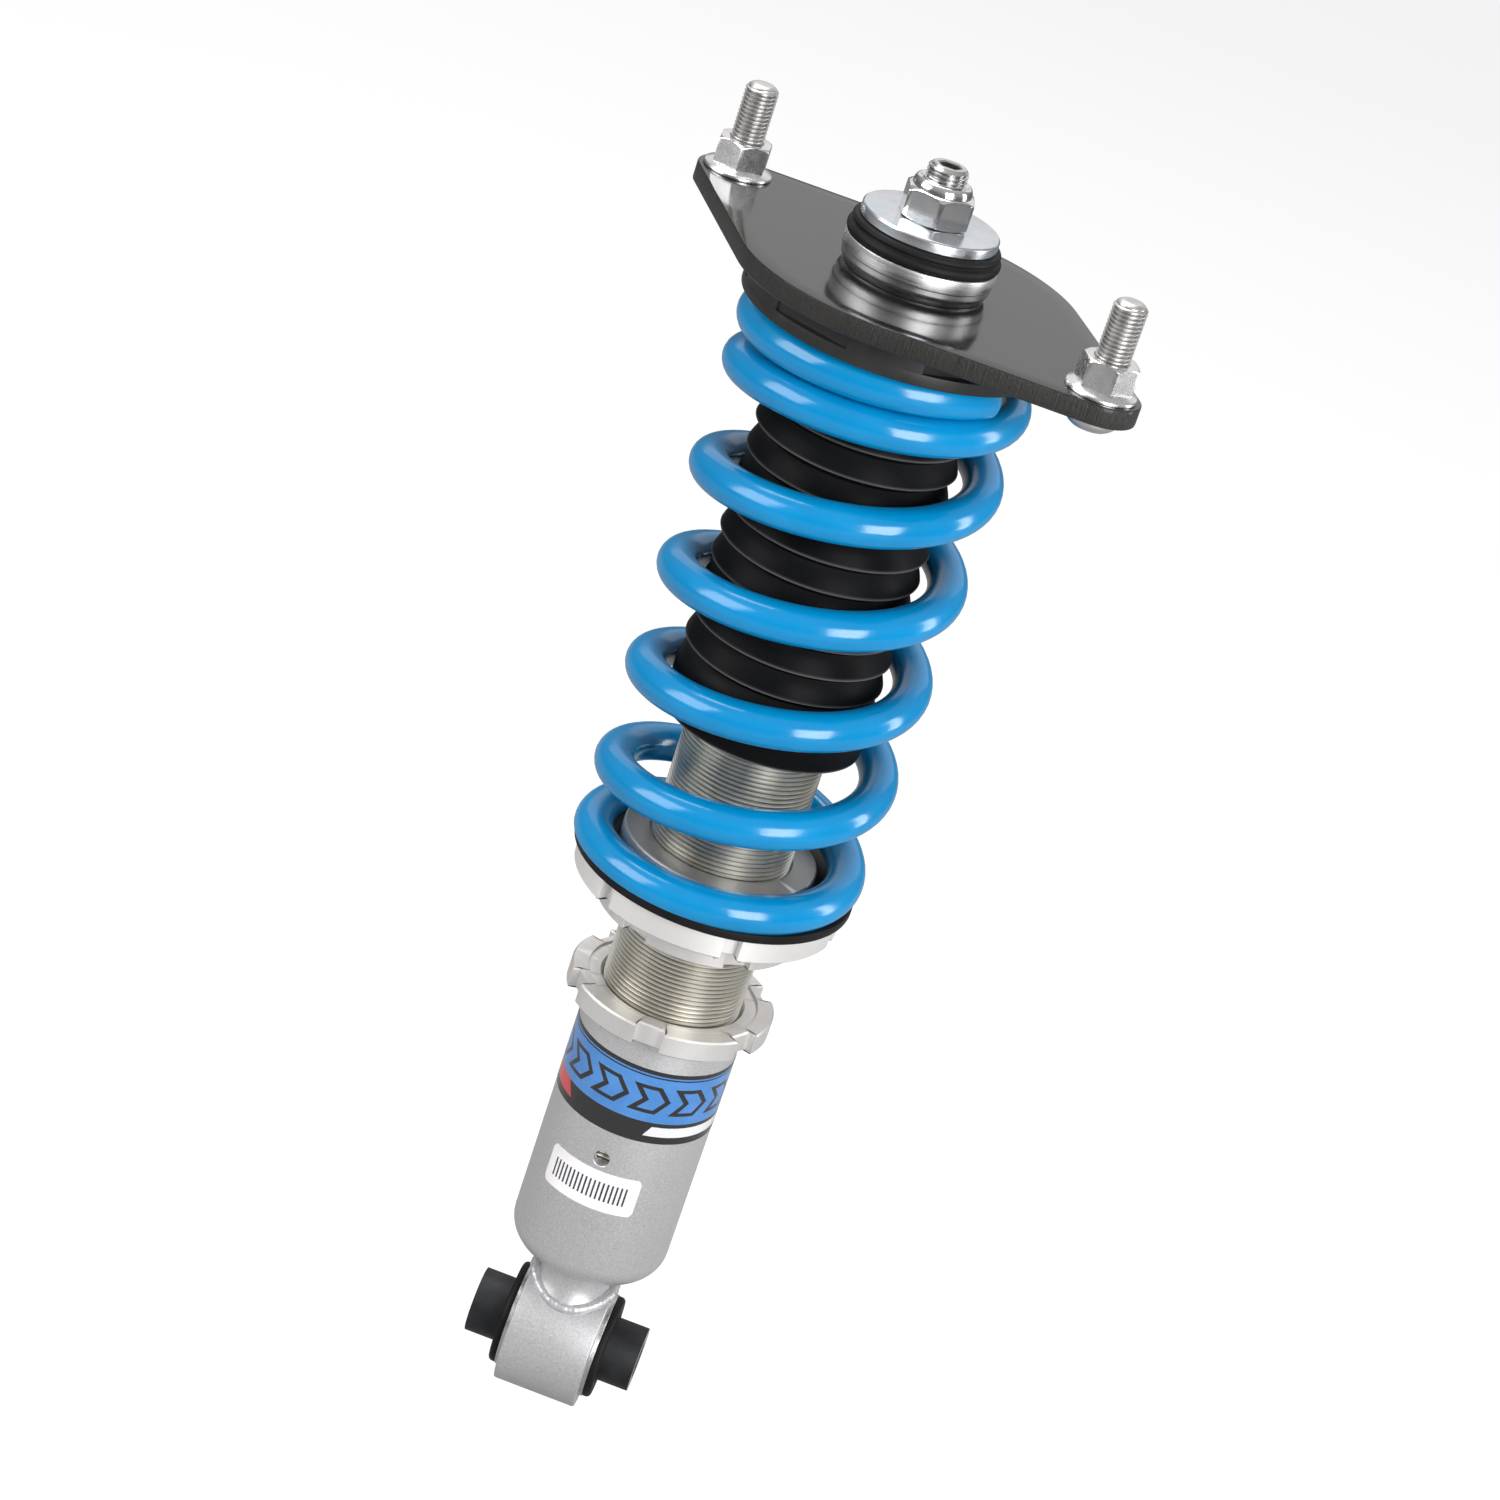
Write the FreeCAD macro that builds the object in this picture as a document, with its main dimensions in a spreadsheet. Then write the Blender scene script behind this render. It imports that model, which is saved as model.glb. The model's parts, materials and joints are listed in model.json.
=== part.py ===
"""Coil-over strut with a two-stud top mount, a threaded monotube damper and a lower eye bush.

Millimetres. The origin is the centre of the lower eye, +Z runs up the strut to the rod tip and
+X runs along the bolt through the eye. Every level below is a height above the eye centre.
"""
import FreeCAD, Part
import math
import os
import Sketcher

doc = FreeCAD.newDocument("strut_assembly")
sheet = doc.addObject("Spreadsheet::Sheet", "Dims")
DIM = {}
PARTS = []


def dim(**values):
    """Put named sizes in the sheet, one cell each."""
    for alias, value in values.items():
        row = len(DIM) + 1
        DIM[alias] = float(value)
        sheet.set("A%d" % row, alias.replace("_", " "))
        sheet.set("B%d" % row, "%.6f" % value)
        sheet.setAlias("B%d" % row, alias)


# Driving sizes -------------------------------------------------------------------------------
STUD_OFFSET = 73.0
STUD_AZIMUTH = -32.5           # direction of the line of the two studs, from +X
PLATE_TOP = 372.5
PLATE_THICK = 6.0
SEAT_BOTTOM = 357.5            # the spring's upper end
SPRING_BOTTOM = 178.5          # the spring's lower end, on its isolator ring
LOCK_RING_THICK = 7.0
BRACKET_TOP = 125.7
BRACKET_BOTTOM = 32.0
DAMPER_TOP = 244.0
DAMPER_BOTTOM = 56.5
ROD_SHOULDER = 351.0
ROD_TIP = 407.0
PISTON_TOP = 220.8

dim(
    # damper tube; the rings and the bracket run on its thread with a small play
    tube_outer=22.0,
    tube_inner=19.0,
    tube_bottom=DAMPER_BOTTOM,
    tube_top=DAMPER_TOP,
    thread_bore=22.06,
)
RING_RECESS_DEPTH = 0.8
dim(
    # lower lock ring, and the same ring under the spring perch
    ring_outer=32.5,
    ring_recess=27.0,
    ring_notch_floor=29.5,
    ring_notch_reach=34.0,
    ring_notch_half=4.3,
    notch_count=6,
    lower_ring_bottom=BRACKET_TOP,
    lower_ring_top=BRACKET_TOP + LOCK_RING_THICK,
    lower_ring_floor=BRACKET_TOP + LOCK_RING_THICK - RING_RECESS_DEPTH,
    lower_ring_angle=-90.0,
)
PERCH_FLANGE_BOTTOM = 167.0
PERCH_BOTTOM = PERCH_FLANGE_BOTTOM - 1.2
ISOLATOR_THICK = 2.9
dim(
    # spring perch: castellated flange with a hub that centres the spring
    perch_outer=41.7,
    perch_hub=30.4,
    perch_hub_top=184.2,
    perch_flange_top=SPRING_BOTTOM - ISOLATOR_THICK,
    perch_flange_bottom=PERCH_FLANGE_BOTTOM,
    perch_boss=30.0,
    perch_bottom=PERCH_BOTTOM,
    perch_notch_floor=38.2,
    perch_notch_reach=43.0,
    perch_notch_half=2.6,
    perch_angle=-68.0,
    upper_ring_bottom=PERCH_BOTTOM - LOCK_RING_THICK,
    upper_ring_top=PERCH_BOTTOM,
    upper_ring_angle=-56.0,
    isolator_inner=30.5,
    isolator_outer=44.0,
    isolator_bottom=SPRING_BOTTOM - ISOLATOR_THICK,
    isolator_top=SPRING_BOTTOM,
)
dim(
    # right-hand coil spring: close end coils, ground flat, and open coils between them
    spring_mean=39.0,
    wire_radius=6.0,
    spring_bottom=SPRING_BOTTOM,
    spring_top=SEAT_BOTTOM,
    wire_start_angle=90.0,
    wire_start=SPRING_BOTTOM - 2.7,
    wire_end=SEAT_BOTTOM - 3.5,
    low_pitch=12.0,
    low_turns=0.78,
    open_pitch=33.3,
    open_turns=4.614,
    high_turns=1.256,
)
NECK_START = 12.0
dim(
    # lower bracket: threaded cup, neck and weld
    bracket_outer=25.4,
    bracket_bore=22.06,
    bracket_top=BRACKET_TOP,
    bracket_bottom=BRACKET_BOTTOM,
    bracket_floor=BRACKET_BOTTOM + 10.0,
    bracket_round=9.0,
    sight_hole=2.6,
    sight_height=80.4,
    sight_angle=-95.0,
    neck_radius=10.0,
    neck_start=NECK_START,
    neck_length=BRACKET_BOTTOM - NECK_START,
    weld_outer=13.5,
    weld_start=BRACKET_BOTTOM - 3.5,
    tool_reach=60.0,
)
dim(
    # wrap-round band label and plate label on the bracket
    label_outer=25.5,
    band_label_bottom=90.5,
    band_label_top=116.0,
    plate_label_bottom=62.6,
    plate_label_top=76.3,
    band_label_angle=300.0,
    plate_label_angle=73.0,
    band_label_turn=124.0,
    plate_label_turn=-134.5,
)
dim(
    # lower eye and its bush; lengths run along the bolt
    eye_outer=21.4,
    eye_inner=17.2,
    eye_length=27.5,
    shell_inner=16.0,
    shell_length=30.0,
    rubber_inner=10.66,
    rubber_length=35.0,
    rubber_lip=16.9,
    sleeve_outer=10.6,
    sleeve_bore=6.15,
    sleeve_length=56.0,
)
dim(
    # top plate
    plate_top=PLATE_TOP,
    plate_bottom=PLATE_TOP - PLATE_THICK,
    plate_thick=PLATE_THICK,
    plate_radius=51.5,
    boss_radius=12.0,
    stud_offset=STUD_OFFSET,
    plate_bore=10.5,
    stud_angle=STUD_AZIMUTH,
    stud_x=STUD_OFFSET * math.cos(math.radians(STUD_AZIMUTH)),
    stud_y=STUD_OFFSET * math.sin(math.radians(STUD_AZIMUTH)),
)
dim(
    # studs and their flange nuts
    stud_radius=5.0,
    stud_knurl=5.3,
    stud_root=4.5,
    stud_head=7.7,
    stud_head_side=PLATE_TOP - PLATE_THICK - 2.4,
    stud_head_crown=5.2,
    stud_head_bottom=PLATE_TOP - PLATE_THICK - 4.6,
    stud_tip=PLATE_TOP + 27.3,
    stud_thread_start=PLATE_TOP + 10.0,
    stud_point=PLATE_TOP + 26.3,
    stud_point_radius=4.0,
    nut_flange=10.5,
    nut_flange_thick=1.6,
    nut_flats=15.0,
    nut_height=10.0,
    nut_cone_low=13.3,
    nut_cone_high=7.6,
)
SEAT_SLOT_BOTTOM = 361.2
dim(
    # upper spring seat
    seat_outer=46.3,
    seat_inner=31.5,
    seat_bottom=SEAT_BOTTOM,
    seat_slot_bottom=SEAT_SLOT_BOTTOM,
    seat_slot_depth=3.2,
    seat_slot_floor=43.5,
    seat_slot_reach=48.0,
    seat_slot_half=12.6,
    seat_slot_angle=-56.0,
)
CUP_TOP = PLATE_TOP + 9.0
WASHER_BOTTOM = 387.0
dim(
    # bush cup, rubber bushes, clamp sleeve and washers of the rod's head
    cup_outer=22.5,
    cup_lower=22.1,
    cup_step=PLATE_TOP + 4.6,
    cup_top=CUP_TOP,
    cup_inner=21.1,
    cup_floor=PLATE_TOP + 1.5,
    cup_foot=21.0,
    cup_foot_rise=PLATE_TOP + 1.1,
    clamp_outer=8.9,
    clamp_inner=6.05,
    clamp_bottom=ROD_SHOULDER + 3.0,
    clamp_top=WASHER_BOTTOM,
    upper_bush_bulge=22.8,
    upper_bush_low=CUP_TOP + 0.9,
    upper_bush_mid=CUP_TOP + 2.3,
    upper_bush_high=CUP_TOP + 4.2,
    upper_bush_neck=21.2,
    lower_bush_outer=20.5,
    washer_outer=20.3,
    washer_bottom=WASHER_BOTTOM,
    washer_top=WASHER_BOTTOM + 3.5,
    lower_washer_outer=20.0,
    lower_washer_bottom=ROD_SHOULDER,
)
dim(
    # rod-head lock nut
    lock_flats=19.0,
    lock_hex_height=9.3,
    lock_top=WASHER_BOTTOM + 3.5 + 12.0,
    lock_collar=8.6,
    lock_collar_height=2.7,
    lock_bore=6.0,
    lock_cone_low=15.2,
    lock_cone_high=9.0,
)
dim(
    # piston rod
    rod_radius=7.0,
    rod_head=6.0,
    rod_tail=5.0,
    rod_shoulder=ROD_SHOULDER,
    rod_tip=ROD_TIP,
    rod_piston_shoulder=PISTON_TOP + 1.2,
    rod_end=PISTON_TOP - 32.0,
    key_flats=6.0,
    key_depth=6.0,
)
dim(
    # piston, shims, band and nut
    piston_outer=18.6,
    piston_top=PISTON_TOP,
    piston_bottom=PISTON_TOP - 21.6,
    band_inner=17.7,
    band_outer=18.94,
    band_bottom=PISTON_TOP - 17.0,
    band_top=PISTON_TOP - 4.0,
    shim_outer=13.0,
    shim_thick=1.2,
    piston_nut_flats=17.0,
    piston_nut_height=7.6,
    port_radius=1.8,
    port_circle=14.6,
    port_count=6,
)
dim(
    # gland: cap, rod guide, seal and ring
    cap_bottom=236.0,
    cap_top=DAMPER_TOP + 2.5,
    cap_outer=21.8,
    cap_recess=12.0,
    cap_lip=243.0,
    rod_bore=7.3,
    rod_fit=7.05,
    guide_bottom=226.0,
    guide_groove=17.6,
    guide_groove_bottom=230.0,
    guide_groove_top=232.0,
    seal_bottom=237.0,
)
dim(
    # gas end of the damper
    base_plug_top=DAMPER_BOTTOM + 12.0,
    fill_screw_radius=4.0,
    fill_screw_length=8.0,
    gas_piston_bottom=98.5,
    gas_piston_top=112.5,
    gas_piston_outer=18.92,
    gas_piston_dish=12.0,
    gas_piston_dish_floor=104.0,
    gas_ring_inner=17.4,
    gas_ring_bottom=104.2,
    gas_ring_top=106.8,
)
BUMP_BOTTOM = 317.0
dim(
    # bump stop
    bump_inner=7.1,
    bump_top=ROD_SHOULDER,
    bump_bottom=BUMP_BOTTOM,
    bump_root=19.0,
    bump_tip=13.0,
    bump_waist=14.5,
    bump_lobe=18.0,
    bump_waist_one=BUMP_BOTTOM + 23.0,
    bump_lobe_one=BUMP_BOTTOM + 17.5,
    bump_waist_two=BUMP_BOTTOM + 11.5,
    bump_lobe_two=BUMP_BOTTOM + 6.0,
    bump_head=BUMP_BOTTOM + 29.0,
)
PLEAT_PITCH = 8.88
PLEAT_COUNT = 12
PLEAT_BOTTOM = 244.4
dim(
    # dust boot: pleats, cuff and collar
    pleat_count=PLEAT_COUNT,
    pleat_span=PLEAT_PITCH * (PLEAT_COUNT - 1),
    pleat_bottom=PLEAT_BOTTOM,
    pleat_middle=PLEAT_BOTTOM + 0.5 * PLEAT_PITCH,
    pleat_end=PLEAT_BOTTOM + PLEAT_PITCH,
    pleat_crest=30.7,
    pleat_crest_inner=29.3,
    pleat_valley=26.4,
    pleat_valley_inner=25.0,
    boot_collar_bottom=PLEAT_BOTTOM + PLEAT_PITCH * PLEAT_COUNT,
    boot_collar=28.0,
    boot_top=PLATE_TOP - PLATE_THICK,
    cuff_bottom=226.8,
    cuff_shoulder=238.6,
    cuff_inner=29.2,
)


# Building blocks -----------------------------------------------------------------------------
def keep(obj, node):
    """Name a finished sub-part and put it on the list of nodes."""
    obj.Label = node
    PARTS.append(obj)
    return obj


def bind(obj, **links):
    """Tie properties to cells of the sheet; a double underscore stands for a dot."""
    for prop, formula in links.items():
        obj.setExpression(prop.replace("__", "."), formula)
    return obj


def cell(alias):
    """Formula that reads one named size."""
    return "Dims." + alias


def origin_plane(body, role):
    """One of a body's own origin planes, by its role."""
    return [f for f in body.Origin.OriginFeatures if f.Role == role][0]


def new_sketch(body, name, role, height=None):
    """A sketch on one of the body's own origin planes, lifted to a level of the sheet."""
    sketch = body.newObject("Sketcher::SketchObject", name)
    sketch.AttachmentSupport = [(origin_plane(body, role), "")]
    sketch.MapMode = "FlatFace"
    if height:
        sketch.setExpression("AttachmentOffset.Base.z", cell(height))
    return sketch


def pin(sketch, geo, alias_x, alias_y):
    """Hold the start of a line at named distances from the sketch origin."""
    for kind, alias in (("DistanceX", alias_x), ("DistanceY", alias_y)):
        if alias == "axis":
            sketch.addConstraint(Sketcher.Constraint("PointOnObject", geo, 1, -2))
            continue
        value = DIM[alias.lstrip("-")]
        if alias.startswith("-"):
            index = sketch.addConstraint(Sketcher.Constraint(kind, geo, 1, -1, 1, value))
        else:
            index = sketch.addConstraint(Sketcher.Constraint(kind, -1, 1, geo, 1, value))
        title = "%s_%d" % (kind, geo)
        sketch.renameConstraint(index, title)
        sketch.setExpression("Constraints." + title, cell(alias.lstrip("-")))


def signed(alias):
    """Number behind a name: the axis is 0 and a leading minus turns the sign."""
    if alias == "axis":
        return 0.0
    if alias.startswith("-"):
        return -DIM[alias[1:]]
    return DIM[alias]


def polygon(sketch, corners):
    """Closed outline through corners given by the names of their two coordinates."""
    points = [FreeCAD.Vector(signed(a), signed(b), 0) for a, b in corners]
    count = len(points)
    for k in range(count):
        sketch.addGeometry(Part.LineSegment(points[k], points[(k + 1) % count]), False)
    for k in range(count):
        sketch.addConstraint(Sketcher.Constraint("Coincident", k, 2, (k + 1) % count, 1))
    for k, (a, b) in enumerate(corners):
        pin(sketch, k, a, b)


def turn(body, name, corners):
    """Add a revolution about Z of an outline of (radius, height) names."""
    sketch = new_sketch(body, name + "_profile", "XZ_Plane")
    polygon(sketch, corners)
    feature = body.newObject("PartDesign::Revolution", name + "_turn")
    feature.Profile = sketch
    feature.ReferenceAxis = (sketch, ["V_Axis"])
    feature.Angle = 360
    body.Tip = feature
    return feature


def turned(name, corners):
    """A body turned about Z."""
    body = doc.addObject("PartDesign::Body", name)
    turn(body, name, corners)
    return body


def ring(name, inner, outer, low, high):
    """A plain ring between two radii and two levels."""
    return turned(name, [(inner, low), (outer, low), (outer, high), (inner, high)])


def notches(body, name, low, near, far, half):
    """Cut equal notches through a ring's rim from below a level upwards."""
    sketch = new_sketch(body, name + "_outline", "XY_Plane", low)
    polygon(sketch, [(near, "-" + half), (far, "-" + half), (far, half), (near, half)])
    pocket = body.newObject("PartDesign::Pocket", name + "_cut")
    pocket.Profile = sketch
    pocket.Type = "ThroughAll"
    pocket.Reversed = True
    body.Tip = pocket
    pattern = body.newObject("PartDesign::PolarPattern", name + "_pattern")
    pattern.Originals = [pocket]
    pattern.Axis = (sketch, ["N_Axis"])
    pattern.Angle = 360
    bind(pattern, Occurrences=cell("notch_count"))
    body.Tip = pattern
    return pattern


def turn_about_z(obj, alias):
    """Turn a whole sub-part about the strut axis by a named angle."""
    obj.Placement = FreeCAD.Placement(FreeCAD.Vector(), FreeCAD.Rotation(FreeCAD.Vector(0, 0, 1), 1))
    obj.setExpression("Placement.Rotation.Angle", cell(alias))


def cylinder(name, radius, height, level=None):
    """A cylinder along Z, every size a formula of the sheet."""
    obj = doc.addObject("Part::Cylinder", name)
    bind(obj, Radius=radius, Height=height)
    if level:
        bind(obj, Placement__Base__z=level)
    return obj


def combine(kind, name, base, tool):
    """A boolean of two objects: Cut, Fuse or Common."""
    obj = doc.addObject("Part::" + kind, name)
    obj.Base = base
    obj.Tool = tool
    return obj


def hexagon(name, flats, height, level=None):
    """A hexagonal prism along Z, across flats of a named size."""
    obj = doc.addObject("Part::Prism", name)
    obj.Polygon = 6
    bind(obj, Circumradius="%s / sqrt(3)" % flats, Height=height)
    if level:
        bind(obj, Placement__Base__z=level)
    return obj


def compound(node, members):
    """Several separate solids that share one node."""
    obj = doc.addObject("Part::Compound", node)
    obj.Links = members
    return keep(obj, node)


# Damper ---------------------------------------------------------------------------------------
def damper_parts():
    """Threaded tube with its gland, gas piston and base plug."""
    keep(ring("damper_body", "tube_inner", "tube_outer", "tube_bottom", "tube_top"), "damper_body")
    keep(turned("gland_cap", [
        ("rod_bore", "cap_lip"), ("cap_recess", "cap_lip"), ("cap_recess", "cap_bottom"),
        ("tube_inner", "cap_bottom"), ("tube_inner", "tube_top"), ("cap_outer", "tube_top"),
        ("cap_outer", "cap_top"), ("rod_bore", "cap_top")]), "gland_cap")
    keep(ring("rod_seal", "rod_fit", "cap_recess", "seal_bottom", "cap_lip"), "rod_seal")
    keep(turned("rod_guide", [
        ("rod_fit", "guide_bottom"), ("tube_inner", "guide_bottom"),
        ("tube_inner", "guide_groove_bottom"), ("guide_groove", "guide_groove_bottom"),
        ("guide_groove", "guide_groove_top"), ("tube_inner", "guide_groove_top"),
        ("tube_inner", "cap_bottom"), ("rod_fit", "cap_bottom")]), "rod_guide")
    keep(ring("guide_seal_ring", "guide_groove", "tube_inner", "guide_groove_bottom",
              "guide_groove_top"), "guide_seal_ring")
    keep(ring("base_plug", "fill_screw_radius", "tube_inner", "tube_bottom", "base_plug_top"),
         "base_plug")
    keep(cylinder("fill_screw", cell("fill_screw_radius"), cell("fill_screw_length"),
                  cell("tube_bottom")), "fill_screw")
    keep(turned("gas_piston", [
        ("axis", "gas_piston_bottom"), ("gas_piston_outer", "gas_piston_bottom"),
        ("gas_piston_outer", "gas_ring_bottom"), ("gas_ring_inner", "gas_ring_bottom"),
        ("gas_ring_inner", "gas_ring_top"), ("gas_piston_outer", "gas_ring_top"),
        ("gas_piston_outer", "gas_piston_top"), ("gas_piston_dish", "gas_piston_top"),
        ("gas_piston_dish", "gas_piston_dish_floor"), ("axis", "gas_piston_dish_floor")]),
        "gas_piston")
    keep(ring("gas_piston_ring", "gas_ring_inner", "band_outer", "gas_ring_bottom", "gas_ring_top"),
         "gas_piston_ring")


def rod_parts():
    """Piston rod with its piston, shims, band, nut and bump stop."""
    shaft = turned("rod_shaft", [
        ("axis", "rod_end"), ("rod_tail", "rod_end"), ("rod_tail", "rod_piston_shoulder"),
        ("rod_radius", "rod_piston_shoulder"), ("rod_radius", "rod_shoulder"),
        ("rod_head", "rod_shoulder"), ("rod_head", "rod_tip"), ("axis", "rod_tip")])
    key = hexagon("rod_key", cell("key_flats"), cell("key_depth"), "Dims.rod_tip - Dims.key_depth")
    drilled = combine("Cut", "rod_with_key", shaft, key)
    keep(drilled, "piston_rod")
    body = ring("piston", "rod_tail", "piston_outer", "piston_bottom", "piston_top")
    groove_sketch = new_sketch(body, "piston_groove_profile", "XZ_Plane")
    polygon(groove_sketch, [("band_inner", "band_bottom"), ("ring_recess", "band_bottom"),
                            ("ring_recess", "band_top"), ("band_inner", "band_top")])
    groove = body.newObject("PartDesign::Groove", "piston_groove")
    groove.Profile = groove_sketch
    groove.ReferenceAxis = (groove_sketch, ["V_Axis"])
    groove.Angle = 360
    body.Tip = groove
    port_sketch = new_sketch(body, "piston_port_outline", "XY_Plane", "piston_bottom")
    port_sketch.addGeometry(Part.Circle(FreeCAD.Vector(DIM["port_circle"], 0, 0),
                                        FreeCAD.Vector(0, 0, 1), DIM["port_radius"]), False)
    radius = port_sketch.addConstraint(Sketcher.Constraint("Radius", 0, DIM["port_radius"]))
    offset = port_sketch.addConstraint(
        Sketcher.Constraint("DistanceX", -1, 1, 0, 3, DIM["port_circle"]))
    port_sketch.addConstraint(Sketcher.Constraint("PointOnObject", 0, 3, -1))
    port_sketch.setExpression("Constraints[%d]" % radius, cell("port_radius"))
    port_sketch.setExpression("Constraints[%d]" % offset, cell("port_circle"))
    port = body.newObject("PartDesign::Pocket", "piston_port")
    port.Profile = port_sketch
    port.Type = "ThroughAll"
    port.Reversed = True
    body.Tip = port
    ports = body.newObject("PartDesign::PolarPattern", "piston_ports")
    ports.Originals = [port]
    ports.Axis = (port_sketch, ["N_Axis"])
    ports.Angle = 360
    bind(ports, Occurrences=cell("port_count"))
    body.Tip = ports
    keep(body, "piston")
    keep(ring("piston_band", "band_inner", "band_outer", "band_bottom", "band_top"), "piston_band")
    shims = []
    for name, level in (("upper_shims", "Dims.piston_top"),
                        ("lower_shims", "Dims.piston_bottom - Dims.shim_thick")):
        disc = cylinder(name + "_disc", cell("shim_outer"), cell("shim_thick"), level)
        hole = cylinder(name + "_hole", cell("rod_tail"), cell("shim_thick"), level)
        shims.append(combine("Cut", name, disc, hole))
    compound("valve_shims", shims)
    level = "Dims.piston_bottom - Dims.shim_thick - Dims.piston_nut_height"
    blank = hexagon("piston_nut_hex", cell("piston_nut_flats"), cell("piston_nut_height"), level)
    hole = cylinder("piston_nut_hole", cell("rod_tail"), cell("piston_nut_height"), level)
    keep(combine("Cut", "piston_nut_cut", blank, hole), "piston_nut")
    keep(turned("bump_stop", [
        ("bump_inner", "bump_bottom"), ("bump_tip", "bump_bottom"), ("bump_lobe", "bump_lobe_two"),
        ("bump_waist", "bump_waist_two"), ("bump_lobe", "bump_lobe_one"),
        ("bump_waist", "bump_waist_one"), ("bump_root", "bump_head"), ("bump_root", "bump_top"),
        ("bump_inner", "bump_top")]), "bump_stop")


# Adjusting rings ------------------------------------------------------------------------------
def lock_ring(node, low, high, angle, floor=None):
    """Castellated lock ring; a floor level adds the shallow recess in its upper face."""
    corners = [("thread_bore", low), ("ring_outer", low), ("ring_outer", high)]
    if floor:
        corners += [("ring_recess", high), ("ring_recess", floor), ("thread_bore", floor)]
    else:
        corners += [("thread_bore", high)]
    body = turned(node, corners)
    notches(body, node + "_notch", low, "ring_notch_floor", "ring_notch_reach", "ring_notch_half")
    turn_about_z(body, angle)
    keep(body, node)


def spring_end_parts():
    """Perch, its lock ring and the isolator ring under the spring."""
    perch = turned("spring_perch", [
        ("thread_bore", "perch_bottom"), ("perch_boss", "perch_bottom"),
        ("perch_boss", "perch_flange_bottom"), ("perch_outer", "perch_flange_bottom"),
        ("perch_outer", "perch_flange_top"), ("perch_hub", "perch_flange_top"),
        ("perch_hub", "perch_hub_top"), ("thread_bore", "perch_hub_top")])
    notches(perch, "perch_notch", "perch_flange_bottom", "perch_notch_floor", "perch_notch_reach",
            "perch_notch_half")
    turn_about_z(perch, "perch_angle")
    keep(perch, "spring_perch")
    lock_ring("perch_lock_ring", "upper_ring_bottom", "upper_ring_top", "upper_ring_angle")
    lock_ring("lower_lock_ring", "lower_ring_bottom", "lower_ring_top", "lower_ring_angle",
              "lower_ring_floor")
    keep(ring("spring_isolator", "isolator_inner", "isolator_outer", "isolator_bottom",
              "isolator_top"), "spring_isolator")


def swept_coil(start_angle, start_height, turns, pitch):
    """One stretch of the wire, its round section kept in the plane of the axis."""
    mean = DIM["spring_mean"]
    helix = Part.makeHelix(pitch, turns * pitch, mean)
    helix.rotate(FreeCAD.Vector(), FreeCAD.Vector(0, 0, 1), start_angle)
    helix.translate(FreeCAD.Vector(0, 0, start_height))
    outward = FreeCAD.Rotation(FreeCAD.Vector(0, 0, 1), start_angle)
    centre = outward.multVec(FreeCAD.Vector(mean, 0, 0)) + FreeCAD.Vector(0, 0, start_height)
    section = Part.makeCircle(DIM["wire_radius"], centre, outward.multVec(FreeCAD.Vector(0, 1, 0)))
    sweep = Part.BRepOffsetAPI.MakePipeShell(Part.Wire(helix.Edges))
    sweep.setBiNormalMode(FreeCAD.Vector(0, 0, 1))
    sweep.add(Part.Wire([section]))
    sweep.build()
    sweep.makeSolid()
    return sweep.shape()


def coil_spring():
    """The wire's three stretches, joined and cut flat at both ends."""
    open_angle = DIM["wire_start_angle"] + 360.0 * DIM["low_turns"]
    open_start = DIM["wire_start"] + DIM["low_turns"] * DIM["low_pitch"]
    high_angle = open_angle + 360.0 * DIM["open_turns"]
    high_start = open_start + DIM["open_turns"] * DIM["open_pitch"]
    high_pitch = (DIM["wire_end"] - high_start) / DIM["high_turns"]
    stretches = [
        swept_coil(DIM["wire_start_angle"], DIM["wire_start"], DIM["low_turns"], DIM["low_pitch"]),
        swept_coil(open_angle, open_start, DIM["open_turns"], DIM["open_pitch"]),
        swept_coil(high_angle, high_start, DIM["high_turns"], high_pitch),
    ]
    wire = stretches[0].fuse(stretches[1:])
    outside = DIM["spring_mean"] + 2 * DIM["wire_radius"]
    envelope = Part.makeCylinder(outside, DIM["spring_top"] - DIM["spring_bottom"],
                                 FreeCAD.Vector(0, 0, DIM["spring_bottom"]))
    feature = doc.addObject("Part::Feature", "coil_spring")
    feature.Shape = wire.common(envelope)
    keep(feature, "coil_spring")


def dust_boot():
    """Pleated boot hung from the plate, with a plain collar above and a cuff below."""
    body = turned("dust_boot", [
        ("pleat_valley_inner", "pleat_bottom"), ("pleat_valley", "pleat_bottom"),
        ("pleat_crest", "pleat_middle"), ("pleat_valley", "pleat_end"),
        ("pleat_valley_inner", "pleat_end"), ("pleat_crest_inner", "pleat_middle")])
    pattern = body.newObject("PartDesign::LinearPattern", "dust_boot_pleats")
    pattern.Originals = [body.getObject("dust_boot_turn")]
    pattern.Direction = (body.getObject("dust_boot_profile"), ["V_Axis"])
    bind(pattern, Length=cell("pleat_span"), Occurrences=cell("pleat_count"))
    body.Tip = pattern
    doc.recompute()
    turn(body, "dust_boot_collar", [
        ("pleat_valley_inner", "boot_collar_bottom"), ("pleat_valley", "boot_collar_bottom"),
        ("boot_collar", "boot_top"), ("pleat_valley", "boot_top")])
    turn(body, "dust_boot_cuff", [
        ("cuff_inner", "cuff_bottom"), ("pleat_crest", "cuff_bottom"),
        ("pleat_crest", "cuff_shoulder"), ("pleat_valley", "pleat_bottom"),
        ("pleat_valley_inner", "pleat_bottom"), ("cuff_inner", "cuff_shoulder")])
    keep(body, "dust_boot")


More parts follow.
